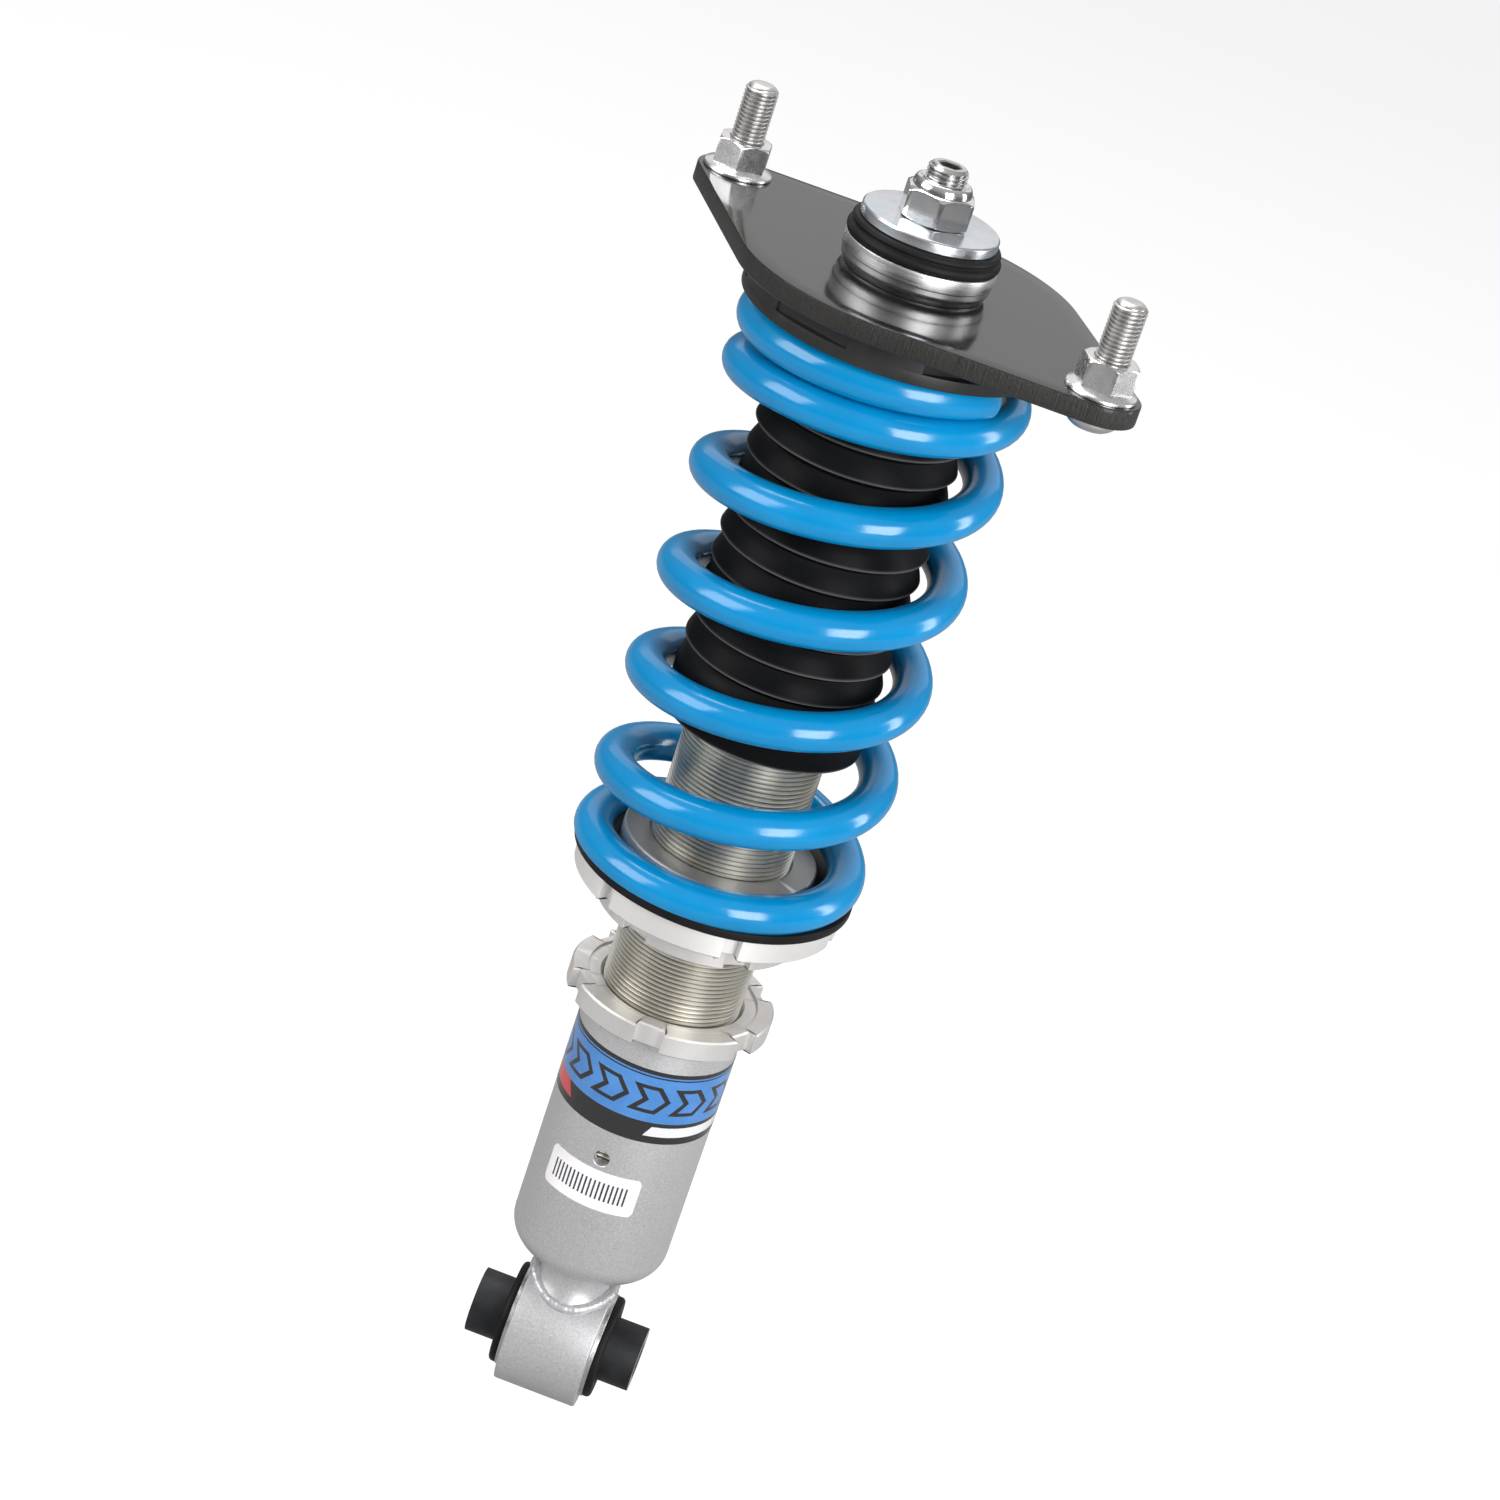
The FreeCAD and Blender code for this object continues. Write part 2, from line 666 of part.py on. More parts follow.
# Lower bracket --------------------------------------------------------------------------------
def label_wrap(node, low, high, angle, start):
    """Thin label wrapped round the bracket over part of its girth."""
    width = "Dims.%s - Dims.%s" % (high, low)
    skin = cylinder(node + "_skin", cell("label_outer"), width, cell(low))
    core = cylinder(node + "_core", cell("bracket_outer"), width, cell(low))
    skin.setExpression("Angle", cell(angle))
    core.setExpression("Angle", cell(angle))
    wrap = combine("Cut", node + "_wrap", skin, core)
    turn_about_z(wrap, start)
    keep(wrap, node)


def bracket_parts():
    """Threaded cup with a sight hole, its neck, weld and labels."""
    body = turned("bracket_cup", [
        ("axis", "bracket_bottom"), ("bracket_outer", "bracket_bottom"),
        ("bracket_outer", "bracket_top"), ("bracket_bore", "bracket_top"),
        ("bracket_bore", "bracket_floor"), ("axis", "bracket_floor")])
    doc.recompute()
    rim = [
        "Edge%d" % (k + 1) for k, edge in enumerate(body.Shape.Edges)
        if isinstance(edge.Curve, Part.Circle)
        and abs(edge.Curve.Radius - DIM["bracket_outer"]) < 0.01
        and abs(edge.CenterOfMass.z - DIM["bracket_bottom"]) < 0.01]
    rounding = body.newObject("PartDesign::Fillet", "bracket_rounding")
    rounding.Base = (body.getObject("bracket_cup_turn"), rim)
    bind(rounding, Radius=cell("bracket_round"))
    body.Tip = rounding
    drill = cylinder("sight_drill", cell("sight_hole"), cell("tool_reach"))
    drill.Placement = FreeCAD.Placement(
        FreeCAD.Vector(0, 0, DIM["sight_height"]),
        FreeCAD.Rotation(FreeCAD.Vector(0, 0, 1), DIM["sight_angle"])
        * FreeCAD.Rotation(FreeCAD.Vector(0, 1, 0), 90))
    drill.setExpression("Placement.Base.z", cell("sight_height"))
    keep(combine("Cut", "bracket_drilled", body, drill), "lower_bracket")
    stub = cylinder("neck_stub", cell("neck_radius"), cell("neck_length"), cell("neck_start"))
    barrel = across("neck_clearance", cell("eye_outer"), cell("tool_reach"))
    keep(combine("Cut", "neck_cut", stub, barrel), "bracket_neck")
    weld = turned("neck_weld", [
        ("neck_radius", "weld_start"), ("weld_outer", "bracket_bottom"),
        ("neck_radius", "bracket_bottom")])
    keep(weld, "neck_weld")
    label_wrap("band_label", "band_label_bottom", "band_label_top", "band_label_angle",
               "band_label_turn")
    label_wrap("plate_label", "plate_label_bottom", "plate_label_top", "plate_label_angle",
               "plate_label_turn")


def across(name, radius, length):
    """A cylinder along X, centred on the eye."""
    obj = cylinder(name, radius, length)
    obj.Placement = FreeCAD.Placement(FreeCAD.Vector(-1, 0, 0),
                                      FreeCAD.Rotation(FreeCAD.Vector(0, 1, 0), 90))
    obj.setExpression("Placement.Base.x", "-(%s) / 2" % length)
    return obj


def eye_parts():
    """Eye barrel and the rubber bush in it."""
    for node, outer, inner, length in (
            ("eye_barrel", "eye_outer", "eye_inner", "eye_length"),
            ("bush_shell", "eye_inner", "shell_inner", "shell_length")):
        solid = across(node + "_solid", cell(outer), cell(length))
        hole = across(node + "_hole", cell(inner), cell(length))
        keep(combine("Cut", node + "_tube", solid, hole), node)
    core = across("rubber_core", cell("shell_inner"), cell("rubber_length"))
    lips = across("rubber_lips", cell("rubber_lip"), cell("rubber_length"))
    gap = across("rubber_gap", cell("eye_outer"), cell("shell_length"))
    rims = combine("Cut", "rubber_rims", lips, gap)
    block = combine("Fuse", "rubber_block", core, rims)
    hole = across("rubber_hole", cell("rubber_inner"), cell("rubber_length"))
    keep(combine("Cut", "rubber_tube", block, hole), "bush_rubber")
    solid = across("sleeve_solid", cell("sleeve_outer"), cell("sleeve_length"))
    hole = across("sleeve_hole", cell("sleeve_bore"), cell("sleeve_length"))
    keep(combine("Cut", "sleeve_tube", solid, hole), "bush_sleeve")


# Top mount ------------------------------------------------------------------------------------
def plate_outline(sketch):
    """Round middle and two small bosses joined by tangent lines, the studs on the X axis."""
    big = DIM["plate_radius"]
    small = DIM["boss_radius"]
    reach = DIM["stud_offset"]
    lean = math.acos((big - small) / reach)
    up = FreeCAD.Vector(0, 0, 1)
    zero = FreeCAD.Vector()

    def arc(centre, radius, start, end):
        circle = Part.Circle(centre, up, radius)
        return Part.ArcOfCircle(circle, start, end)

    right = FreeCAD.Vector(reach, 0, 0)
    left = FreeCAD.Vector(-reach, 0, 0)
    around = math.pi - lean
    arcs = [
        arc(right, small, -lean, lean),
        arc(zero, big, lean, around),
        arc(left, small, around, 2 * math.pi - around),
        arc(zero, big, math.pi + lean, 2 * math.pi - lean),
    ]
    for piece in arcs:
        sketch.addGeometry(piece, False)
    for k in range(4):
        start = arcs[k].EndPoint
        end = arcs[(k + 1) % 4].StartPoint
        sketch.addGeometry(Part.LineSegment(start, end), False)
    for k in range(4):
        sketch.addConstraint(Sketcher.Constraint("Tangent", k, 2, 4 + k, 1))
        sketch.addConstraint(Sketcher.Constraint("Tangent", 4 + k, 2, (k + 1) % 4, 1))
    for k in (1, 3):
        sketch.addConstraint(Sketcher.Constraint("Coincident", k, 3, -1, 1))
    for k, alias in ((0, "boss_radius"), (1, "plate_radius"), (2, "boss_radius"),
                     (3, "plate_radius")):
        index = sketch.addConstraint(Sketcher.Constraint("Radius", k, DIM[alias]))
        sketch.setExpression("Constraints[%d]" % index, cell(alias))
    for k, pair in ((0, (-1, 1, 0, 3)), (2, (2, 3, -1, 1))):
        index = sketch.addConstraint(Sketcher.Constraint("DistanceX", *pair, reach))
        sketch.setExpression("Constraints[%d]" % index, cell("stud_offset"))
        sketch.addConstraint(Sketcher.Constraint("PointOnObject", k, 3, -1))


def mount_plate():
    """Six-millimetre top plate with a middle bore and two stud holes."""
    body = doc.addObject("PartDesign::Body", "mount_plate")
    sketch = new_sketch(body, "plate_outline", "XY_Plane", "plate_bottom")
    plate_outline(sketch)
    pad = body.newObject("PartDesign::Pad", "plate_pad")
    pad.Profile = sketch
    bind(pad, Length=cell("plate_thick"))
    body.Tip = pad
    holes = new_sketch(body, "plate_holes", "XY_Plane", "plate_bottom")
    for k, (offset, alias) in enumerate(((0, "plate_bore"), (1, "stud_knurl"), (-1, "stud_knurl"))):
        centre = FreeCAD.Vector(offset * DIM["stud_offset"], 0, 0)
        holes.addGeometry(Part.Circle(centre, FreeCAD.Vector(0, 0, 1), DIM[alias]), False)
        index = holes.addConstraint(Sketcher.Constraint("Radius", k, DIM[alias]))
        holes.setExpression("Constraints[%d]" % index, cell(alias))
        if offset == 0:
            holes.addConstraint(Sketcher.Constraint("Coincident", k, 3, -1, 1))
            continue
        pair = (-1, 1, k, 3) if offset > 0 else (k, 3, -1, 1)
        index = holes.addConstraint(Sketcher.Constraint("DistanceX", *pair, DIM["stud_offset"]))
        holes.setExpression("Constraints[%d]" % index, cell("stud_offset"))
        holes.addConstraint(Sketcher.Constraint("PointOnObject", k, 3, -1))
    cut = body.newObject("PartDesign::Pocket", "plate_cut")
    cut.Profile = holes
    cut.Type = "ThroughAll"
    cut.Reversed = True
    body.Tip = cut
    turn_about_z(body, "stud_angle")
    keep(body, "mount_plate")


def stud_sets():
    """Two headed studs and the two flange nuts on them."""
    studs = []
    nuts = []
    for side, sign in (("near", ""), ("far", "-")):
        stud = turned("stud_" + side, [
            ("axis", "stud_head_bottom"), ("stud_head_crown", "stud_head_bottom"),
            ("stud_head", "stud_head_side"), ("stud_head", "plate_bottom"), ("stud_knurl", "plate_bottom"),
            ("stud_knurl", "plate_top"), ("stud_root", "plate_top"),
            ("stud_root", "stud_thread_start"), ("stud_radius", "stud_thread_start"),
            ("stud_radius", "stud_point"), ("stud_point_radius", "stud_tip"),
            ("axis", "stud_tip")])
        bind(stud, Placement__Base__x=sign + "Dims.stud_x", Placement__Base__y=sign + "Dims.stud_y")
        studs.append(stud)
        nut = flange_nut("flange_nut_" + side)
        bind(nut, Placement__Base__x=sign + "Dims.stud_x", Placement__Base__y=sign + "Dims.stud_y",
             Placement__Base__z="Dims.plate_top")
        nuts.append(nut)
    compound("mount_studs", studs)
    compound("flange_nuts", nuts)


def flange_nut(name):
    """Hexagon nut with a round flange, its top corners turned off."""
    prism = hexagon(name + "_hex", cell("nut_flats"), cell("nut_height"))
    cone = doc.addObject("Part::Cone", name + "_cone")
    bind(cone, Radius1=cell("nut_cone_low"), Radius2=cell("nut_cone_high"),
         Height=cell("nut_height"))
    trimmed = combine("Common", name + "_trimmed", prism, cone)
    flange = cylinder(name + "_flange", cell("nut_flange"), cell("nut_flange_thick"))
    joined = combine("Fuse", name + "_joined", trimmed, flange)
    hole = cylinder(name + "_hole", cell("stud_root"), cell("nut_height"))
    return combine("Cut", name, joined, hole)


def rod_lock_nut():
    """Hexagon nut with the round collar of its locking insert."""
    prism = hexagon("lock_hex", cell("lock_flats"), cell("lock_hex_height"), "Dims.washer_top")
    cone = doc.addObject("Part::Cone", "lock_cone")
    bind(cone, Radius1=cell("lock_cone_low"), Radius2=cell("lock_cone_high"),
         Height=cell("lock_hex_height"), Placement__Base__z="Dims.washer_top")
    trimmed = combine("Common", "lock_trimmed", prism, cone)
    collar = cylinder("lock_collar", cell("lock_collar"), cell("lock_collar_height"),
                      "Dims.washer_top + Dims.lock_hex_height")
    joined = combine("Fuse", "lock_joined", trimmed, collar)
    hole = cylinder("lock_hole", cell("lock_bore"), "Dims.lock_top - Dims.washer_top",
                    "Dims.washer_top")
    keep(combine("Cut", "lock_cut", joined, hole), "rod_lock_nut")


def upper_seat():
    """Seat ring between the plate and the spring, with slots in its rim."""
    body = ring("upper_seat", "seat_inner", "seat_outer", "seat_bottom", "plate_bottom")
    sketch = new_sketch(body, "seat_slot_outline", "XY_Plane", "seat_slot_bottom")
    polygon(sketch, [("seat_slot_floor", "-seat_slot_half"), ("seat_slot_reach", "-seat_slot_half"),
                     ("seat_slot_reach", "seat_slot_half"), ("seat_slot_floor", "seat_slot_half")])
    slot = body.newObject("PartDesign::Pocket", "seat_slot")
    slot.Profile = sketch
    slot.Reversed = True
    bind(slot, Length=cell("seat_slot_depth"))
    body.Tip = slot
    slots = body.newObject("PartDesign::PolarPattern", "seat_slots")
    slots.Originals = [slot]
    slots.Axis = (sketch, ["N_Axis"])
    slots.Angle = 360
    bind(slots, Occurrences=cell("notch_count"))
    body.Tip = slots
    turn_about_z(body, "seat_slot_angle")
    keep(body, "upper_spring_seat")


def rod_head_parts():
    """Cup, rubber bushes, clamp sleeve and washers that hold the rod in the plate."""
    keep(turned("bush_cup", [
        ("plate_bore", "plate_top"), ("cup_foot", "plate_top"), ("cup_lower", "cup_foot_rise"),
        ("cup_lower", "cup_step"), ("cup_outer", "cup_step"), ("cup_outer", "cup_top"),
        ("cup_inner", "cup_top"), ("cup_inner", "cup_floor"), ("plate_bore", "cup_floor")]),
        "bush_cup")
    keep(turned("upper_mount_bush", [
        ("clamp_outer", "cup_floor"), ("cup_inner", "cup_floor"), ("cup_inner", "cup_top"),
        ("upper_bush_bulge", "upper_bush_low"), ("upper_bush_bulge", "upper_bush_mid"),
        ("upper_bush_neck", "upper_bush_high"), ("upper_bush_neck", "washer_bottom"),
        ("clamp_outer", "washer_bottom")]), "upper_mount_bush")
    keep(ring("lower_mount_bush", "clamp_outer", "lower_bush_outer", "clamp_bottom", "plate_bottom"),
         "lower_mount_bush")
    keep(ring("clamp_sleeve", "clamp_inner", "clamp_outer", "clamp_bottom", "clamp_top"),
         "clamp_sleeve")
    keep(ring("top_washer", "clamp_inner", "washer_outer", "washer_bottom", "washer_top"),
         "top_washer")
    keep(ring("lower_washer", "clamp_inner", "lower_washer_outer", "lower_washer_bottom",
              "clamp_bottom"), "lower_washer")


mount_plate()
stud_sets()
upper_seat()
rod_head_parts()
rod_lock_nut()
rod_parts()
damper_parts()
spring_end_parts()
coil_spring()
dust_boot()
bracket_parts()
eye_parts()
doc.recompute()

# Check every object, then write one file for each node ----------------------------------------
problems = [obj.Name + ": " + ", ".join(obj.State) for obj in doc.Objects
            if "Invalid" in obj.State or "Error" in obj.State]
for obj in PARTS:
    if obj.Shape.isNull() or not obj.Shape.isValid():
        problems.append(obj.Label + ": bad shape")
if problems:
    raise RuntimeError("; ".join(problems))
os.makedirs("parts", exist_ok=True)
for obj in PARTS:
    obj.Shape.exportStep("parts/%s.step" % obj.Label)
    print("%-20s solids %d  volume %.1f" % (obj.Label, len(obj.Shape.Solids), obj.Shape.Volume))
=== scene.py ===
"""Looks of a coil-over strut: two-stud top mount, blue coil spring, threaded damper, eyed bracket.

Metres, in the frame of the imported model: the origin is the centre of the lower eye, +Z runs up the
strut and +X runs along the bolt through the eye. Levels come from the frame's own nodes.
"""
import json
import math

import bmesh
import bpy
from mathutils import Matrix, Vector


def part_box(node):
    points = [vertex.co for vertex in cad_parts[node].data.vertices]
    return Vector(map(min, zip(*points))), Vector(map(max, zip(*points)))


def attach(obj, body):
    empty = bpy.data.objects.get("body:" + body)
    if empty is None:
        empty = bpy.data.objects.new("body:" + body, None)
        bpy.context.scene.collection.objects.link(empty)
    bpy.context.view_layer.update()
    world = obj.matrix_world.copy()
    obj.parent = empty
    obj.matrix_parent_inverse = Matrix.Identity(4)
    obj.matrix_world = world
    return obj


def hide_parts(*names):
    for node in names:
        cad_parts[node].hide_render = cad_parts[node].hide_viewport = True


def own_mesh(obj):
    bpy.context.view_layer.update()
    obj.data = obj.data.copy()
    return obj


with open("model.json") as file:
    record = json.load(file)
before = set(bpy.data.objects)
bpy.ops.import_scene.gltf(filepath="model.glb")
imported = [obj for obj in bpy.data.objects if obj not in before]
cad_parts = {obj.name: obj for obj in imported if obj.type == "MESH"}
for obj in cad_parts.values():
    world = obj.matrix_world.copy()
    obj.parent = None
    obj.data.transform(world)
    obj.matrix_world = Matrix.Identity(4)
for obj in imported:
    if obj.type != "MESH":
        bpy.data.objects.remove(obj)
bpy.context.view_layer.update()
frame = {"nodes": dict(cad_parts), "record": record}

MM = 0.001
TAU = 2 * math.pi
AROUND = 128                   # steps round a turned piece
SHARP = 32.0                   # degrees past which an edge stays crisp
WELD_DISTANCE = 2e-6           # points nearer than this become one
STUD_AZIMUTH = math.radians(-32.5)
STUD_OFFSET = 73.0 * MM        # from the strut axis to each stud
THREAD_BORE = 22.06 * MM       # of every ring on the damper's thread


# Levels of the frame --------------------------------------------------------------------------
def low(node):
    """Lowest level of a node."""
    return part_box(node)[0].z


def high(node):
    """Highest level of a node."""
    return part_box(node)[1].z


def reach(node):
    """Outer radius of a node turned about the strut axis."""
    bottom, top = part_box(node)
    return max(top.x, top.y, -bottom.x, -bottom.y)


def half_width(node):
    """Half of a node's length along the eye bolt."""
    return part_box(node)[1].x


PLATE_TOP = high("mount_plate")
PLATE_BOTTOM = low("mount_plate")
SPRING_TOP = high("coil_spring")
SPRING_BOTTOM = low("coil_spring")
BRACKET_TOP = high("lower_bracket")
BRACKET_BOTTOM = low("lower_bracket")
WASHER_TOP = high("top_washer")
EYE_RADIUS = high("eye_barrel")
FLOOR = low("eye_barrel") - 22.0 * MM      # clear of the eye at its lowest ride height


# Node trees -----------------------------------------------------------------------------------
def new_tree(name, kind, inputs, outputs):
    """A node tree with named sockets: its nodes, what it is given and where its results go."""
    tree = bpy.data.node_groups.new(name, kind)
    for label, socket, value in inputs:
        item = tree.interface.new_socket(name=label, in_out="INPUT", socket_type="NodeSocket" + socket)
        if value is not None:
            item.default_value = value
    for label, socket in outputs:
        tree.interface.new_socket(name=label, in_out="OUTPUT", socket_type="NodeSocket" + socket)
    given = tree.nodes.new("NodeGroupInput").outputs
    results = tree.nodes.new("NodeGroupOutput").inputs
    return tree, given, results


def add(tree, kind, values=None, **settings):
    """A node whose inputs take constants or are fed by other outputs."""
    node = tree.nodes.new(kind)
    for setting, value in settings.items():
        setattr(node, setting, value)
    for key, value in (values or {}).items():
        if isinstance(value, bpy.types.NodeSocket):
            tree.links.new(value, node.inputs[key])
        else:
            node.inputs[key].default_value = value
    return node


def maths(tree, operation, *values):
    """One arithmetic step."""
    node = add(tree, "ShaderNodeMath", dict(enumerate(values)), operation=operation)
    return node.outputs[0]


def ramp(tree, value, start, end, first=0.0, last=1.0):
    """Straight change from one value to another between two limits."""
    labels = ("Value", "From Min", "From Max", "To Min", "To Max")
    node = add(tree, "ShaderNodeMapRange", dict(zip(labels, (value, start, end, first, last))))
    return node.outputs[0]


def parts(tree, kind, output=0, **settings):
    """The three parts of a vector that a new node gives."""
    source = add(tree, kind, **settings).outputs[output]
    return add(tree, "ShaderNodeSeparateXYZ", {0: source}).outputs


def inside(tree, value, start, end):
    """1 between two limits and 0 outside."""
    above = maths(tree, "GREATER_THAN", value, start)
    return maths(tree, "MULTIPLY", above, maths(tree, "LESS_THAN", value, end))


def turned_position(tree, radius, angle, height):
    """Place at a radius, an angle and a height."""
    x = maths(tree, "MULTIPLY", radius, maths(tree, "COSINE", angle))
    y = maths(tree, "MULTIPLY", radius, maths(tree, "SINE", angle))
    return add(tree, "ShaderNodeCombineXYZ", {0: x, 1: y, 2: height}).outputs[0]


def finish_geometry(tree, geometry, material, results):
    """End every geometry tree alike: real mesh with its material."""
    real = add(tree, "GeometryNodeRealizeInstances", {"Geometry": geometry}).outputs[0]
    done = add(tree, "GeometryNodeSetMaterial", {"Geometry": real, "Material": material})
    tree.links.new(done.outputs[0], results[0])


# Geometry trees -------------------------------------------------------------------------------
def thread_tree():
    """Right-hand V thread on a bar or a tube, chamfered and closed at both ends."""
    tree, given, results = new_tree("screw_thread", "GeometryNodeTree", [
        ("Radius", "Float", 0.005), ("Depth", "Float", 0.0007), ("Pitch", "Float", 0.00125),
        ("Bottom", "Float", 0.0), ("Top", "Float", 0.02), ("Chamfer", "Float", 0.001),
        ("Bore", "Float", 0.0), ("Steps", "Int", 48), ("Material", "Material", None)],
        [("Geometry", "Geometry")])
    length = maths(tree, "SUBTRACT", given["Top"], given["Bottom"])
    turns = maths(tree, "ADD", maths(tree, "CEIL", maths(tree, "DIVIDE", length, given["Pitch"])), 1.0)
    columns = maths(tree, "ADD", maths(tree, "MULTIPLY", turns, given["Steps"]), 1.0)
    grid = add(tree, "GeometryNodeMeshGrid",
               {"Size X": turns, "Size Y": 1.0, "Vertices X": columns, "Vertices Y": 9}).outputs[0]
    place = parts(tree, "GeometryNodeInputPosition")
    along = maths(tree, "ADD", place[0], maths(tree, "MULTIPLY", turns, 0.5))
    across = place[1]
    rise = maths(tree, "MULTIPLY", maths(tree, "ADD", along, across), given["Pitch"])
    height = maths(tree, "ADD", given["Bottom"], rise)
    height = maths(tree, "MINIMUM", maths(tree, "MAXIMUM", height, given["Bottom"]), given["Top"])
    groove = ramp(tree, maths(tree, "ABSOLUTE", across), 0.125, 0.375, 1.0, 0.0)
    wall = maths(tree, "SUBTRACT", given["Radius"], maths(tree, "MULTIPLY", groove, given["Depth"]))
    end_gap = maths(tree, "MINIMUM", maths(tree, "SUBTRACT", height, given["Bottom"]),
                    maths(tree, "SUBTRACT", given["Top"], height))
    rim = maths(tree, "SUBTRACT", given["Radius"], given["Chamfer"])
    radius = maths(tree, "MINIMUM", wall, maths(tree, "ADD", rim, end_gap))
    angle = maths(tree, "MULTIPLY", along, TAU)
    flight = add(tree, "GeometryNodeSetPosition",
                 {"Geometry": grid, "Position": turned_position(tree, radius, angle, height)})
    # the bore and the two flat ends, as a strip of four rows
    columns = maths(tree, "ADD", given["Steps"], 1.0)
    strip = add(tree, "GeometryNodeMeshGrid",
                {"Size X": 1.0, "Size Y": 1.0, "Vertices X": columns, "Vertices Y": 4}).outputs[0]
    outermost = maths(tree, "GREATER_THAN", maths(tree, "ABSOLUTE", across), 0.4)
    step = maths(tree, "MULTIPLY", outermost, maths(tree, "SUBTRACT", rim, given["Bore"]))
    radius = maths(tree, "ADD", given["Bore"], step)
    upper = maths(tree, "GREATER_THAN", across, 0.0)
    height = maths(tree, "ADD", given["Bottom"], maths(tree, "MULTIPLY", upper, length))
    angle = maths(tree, "MULTIPLY", place[0], TAU)
    angle = maths(tree, "ADD", angle, TAU / 2)
    liner = add(tree, "GeometryNodeSetPosition",
                {"Geometry": strip, "Position": turned_position(tree, radius, angle, height)})
    joined = add(tree, "GeometryNodeJoinGeometry", {0: liner.outputs[0]})
    tree.links.new(flight.outputs[0], joined.inputs[0])
    welded = add(tree, "GeometryNodeMergeByDistance",
                 {"Geometry": joined.outputs[0], "Distance": WELD_DISTANCE})
    finish_geometry(tree, welded.outputs[0], given["Material"], results)
    return tree


def coil_tree():
    """Round wire on a helix of three pitches, cut flat at both ends."""
    tree, given, results = new_tree("coil_spring", "GeometryNodeTree", [
        ("Mean Radius", "Float", 0.039), ("Wire Radius", "Float", 0.006),
        ("Start Angle", "Float", 0.0), ("Start", "Float", 0.0),
        ("Low Turns", "Float", 0.8), ("Low Pitch", "Float", 0.012),
        ("Open Turns", "Float", 4.6), ("Open Pitch", "Float", 0.033),
        ("High Turns", "Float", 1.2), ("High Pitch", "Float", 0.012), ("Blend", "Float", 0.15),
        ("Bottom", "Float", 0.0), ("Top", "Float", 0.18), ("Steps", "Int", 64),
        ("Wire Steps", "Int", 32), ("Material", "Material", None)], [("Geometry", "Geometry")])
    turns = maths(tree, "ADD", given["Low Turns"],
                  maths(tree, "ADD", given["Open Turns"], given["High Turns"]))
    count = maths(tree, "ADD", maths(tree, "ROUND", maths(tree, "MULTIPLY", turns, given["Steps"])), 1.0)
    points = add(tree, "GeometryNodeMeshLine", {"Count": count}).outputs[0]
    index = add(tree, "GeometryNodeInputIndex").outputs[0]
    turn = maths(tree, "DIVIDE", index, given["Steps"])
    early = maths(tree, "SMOOTH_MIN", turn, given["Low Turns"], given["Blend"])
    open_end = maths(tree, "ADD", given["Low Turns"], given["Open Turns"])
    late = maths(tree, "SMOOTH_MAX", maths(tree, "SUBTRACT", turn, open_end), 0.0, given["Blend"])
    middle = maths(tree, "SUBTRACT", turn, maths(tree, "ADD", early, late))
    height = maths(tree, "MULTIPLY_ADD", early, given["Low Pitch"], given["Start"])
    height = maths(tree, "MULTIPLY_ADD", middle, given["Open Pitch"], height)
    height = maths(tree, "MULTIPLY_ADD", late, given["High Pitch"], height)
    angle = maths(tree, "MULTIPLY_ADD", turn, TAU, given["Start Angle"])
    placed = add(tree, "GeometryNodeSetPosition", {
        "Geometry": points, "Position": turned_position(tree, given["Mean Radius"], angle, height)})
    path = add(tree, "GeometryNodeMeshToCurve", {"Mesh": placed.outputs[0]}).outputs[0]
    section = add(tree, "GeometryNodeCurvePrimitiveCircle",
                  {"Resolution": given["Wire Steps"], "Radius": given["Wire Radius"]}).outputs[0]
    wire = add(tree, "GeometryNodeCurveToMesh",
               {"Curve": path, "Profile Curve": section, "Fill Caps": True}).outputs[0]
    depth = maths(tree, "SUBTRACT", given["Top"], given["Bottom"])
    envelope = add(tree, "GeometryNodeMeshCylinder",
                   {"Vertices": 32, "Radius": 0.06, "Depth": depth}).outputs[0]
    middle_height = maths(tree, "MULTIPLY", maths(tree, "ADD", given["Top"], given["Bottom"]), 0.5)
    lifted = add(tree, "GeometryNodeTransform", {
        "Geometry": envelope,
        "Translation": add(tree, "ShaderNodeCombineXYZ", {2: middle_height}).outputs[0]})
    ground = add(tree, "GeometryNodeMeshBoolean", operation="INTERSECT", solver="EXACT")
    tree.links.new(wire, ground.inputs[1])
    tree.links.new(lifted.outputs[0], ground.inputs[1])
    finish_geometry(tree, ground.outputs[0], given["Material"], results)
    return tree


def quarter_round(tree, share):
    """Quarter of a circle: 1 at the start of the share, falling ever faster to 0 at its end."""
    share = maths(tree, "MINIMUM", maths(tree, "MAXIMUM", share, 0.0), 1.0)
    return maths(tree, "SQRT", maths(tree, "SUBTRACT", 1.0, maths(tree, "MULTIPLY", share, share)))


def leaning(tree, share):
    """Side of a pleat: 1 at its lip, leaning inward at once and more and more towards its end."""
    share = maths(tree, "MINIMUM", maths(tree, "MAXIMUM", share, 0.0), 1.0)
    straight = maths(tree, "SUBTRACT", 1.0, share)
    return maths(tree, "MULTIPLY_ADD", maths(tree, "SUBTRACT", quarter_round(tree, share), straight), 0.55,
                 straight)


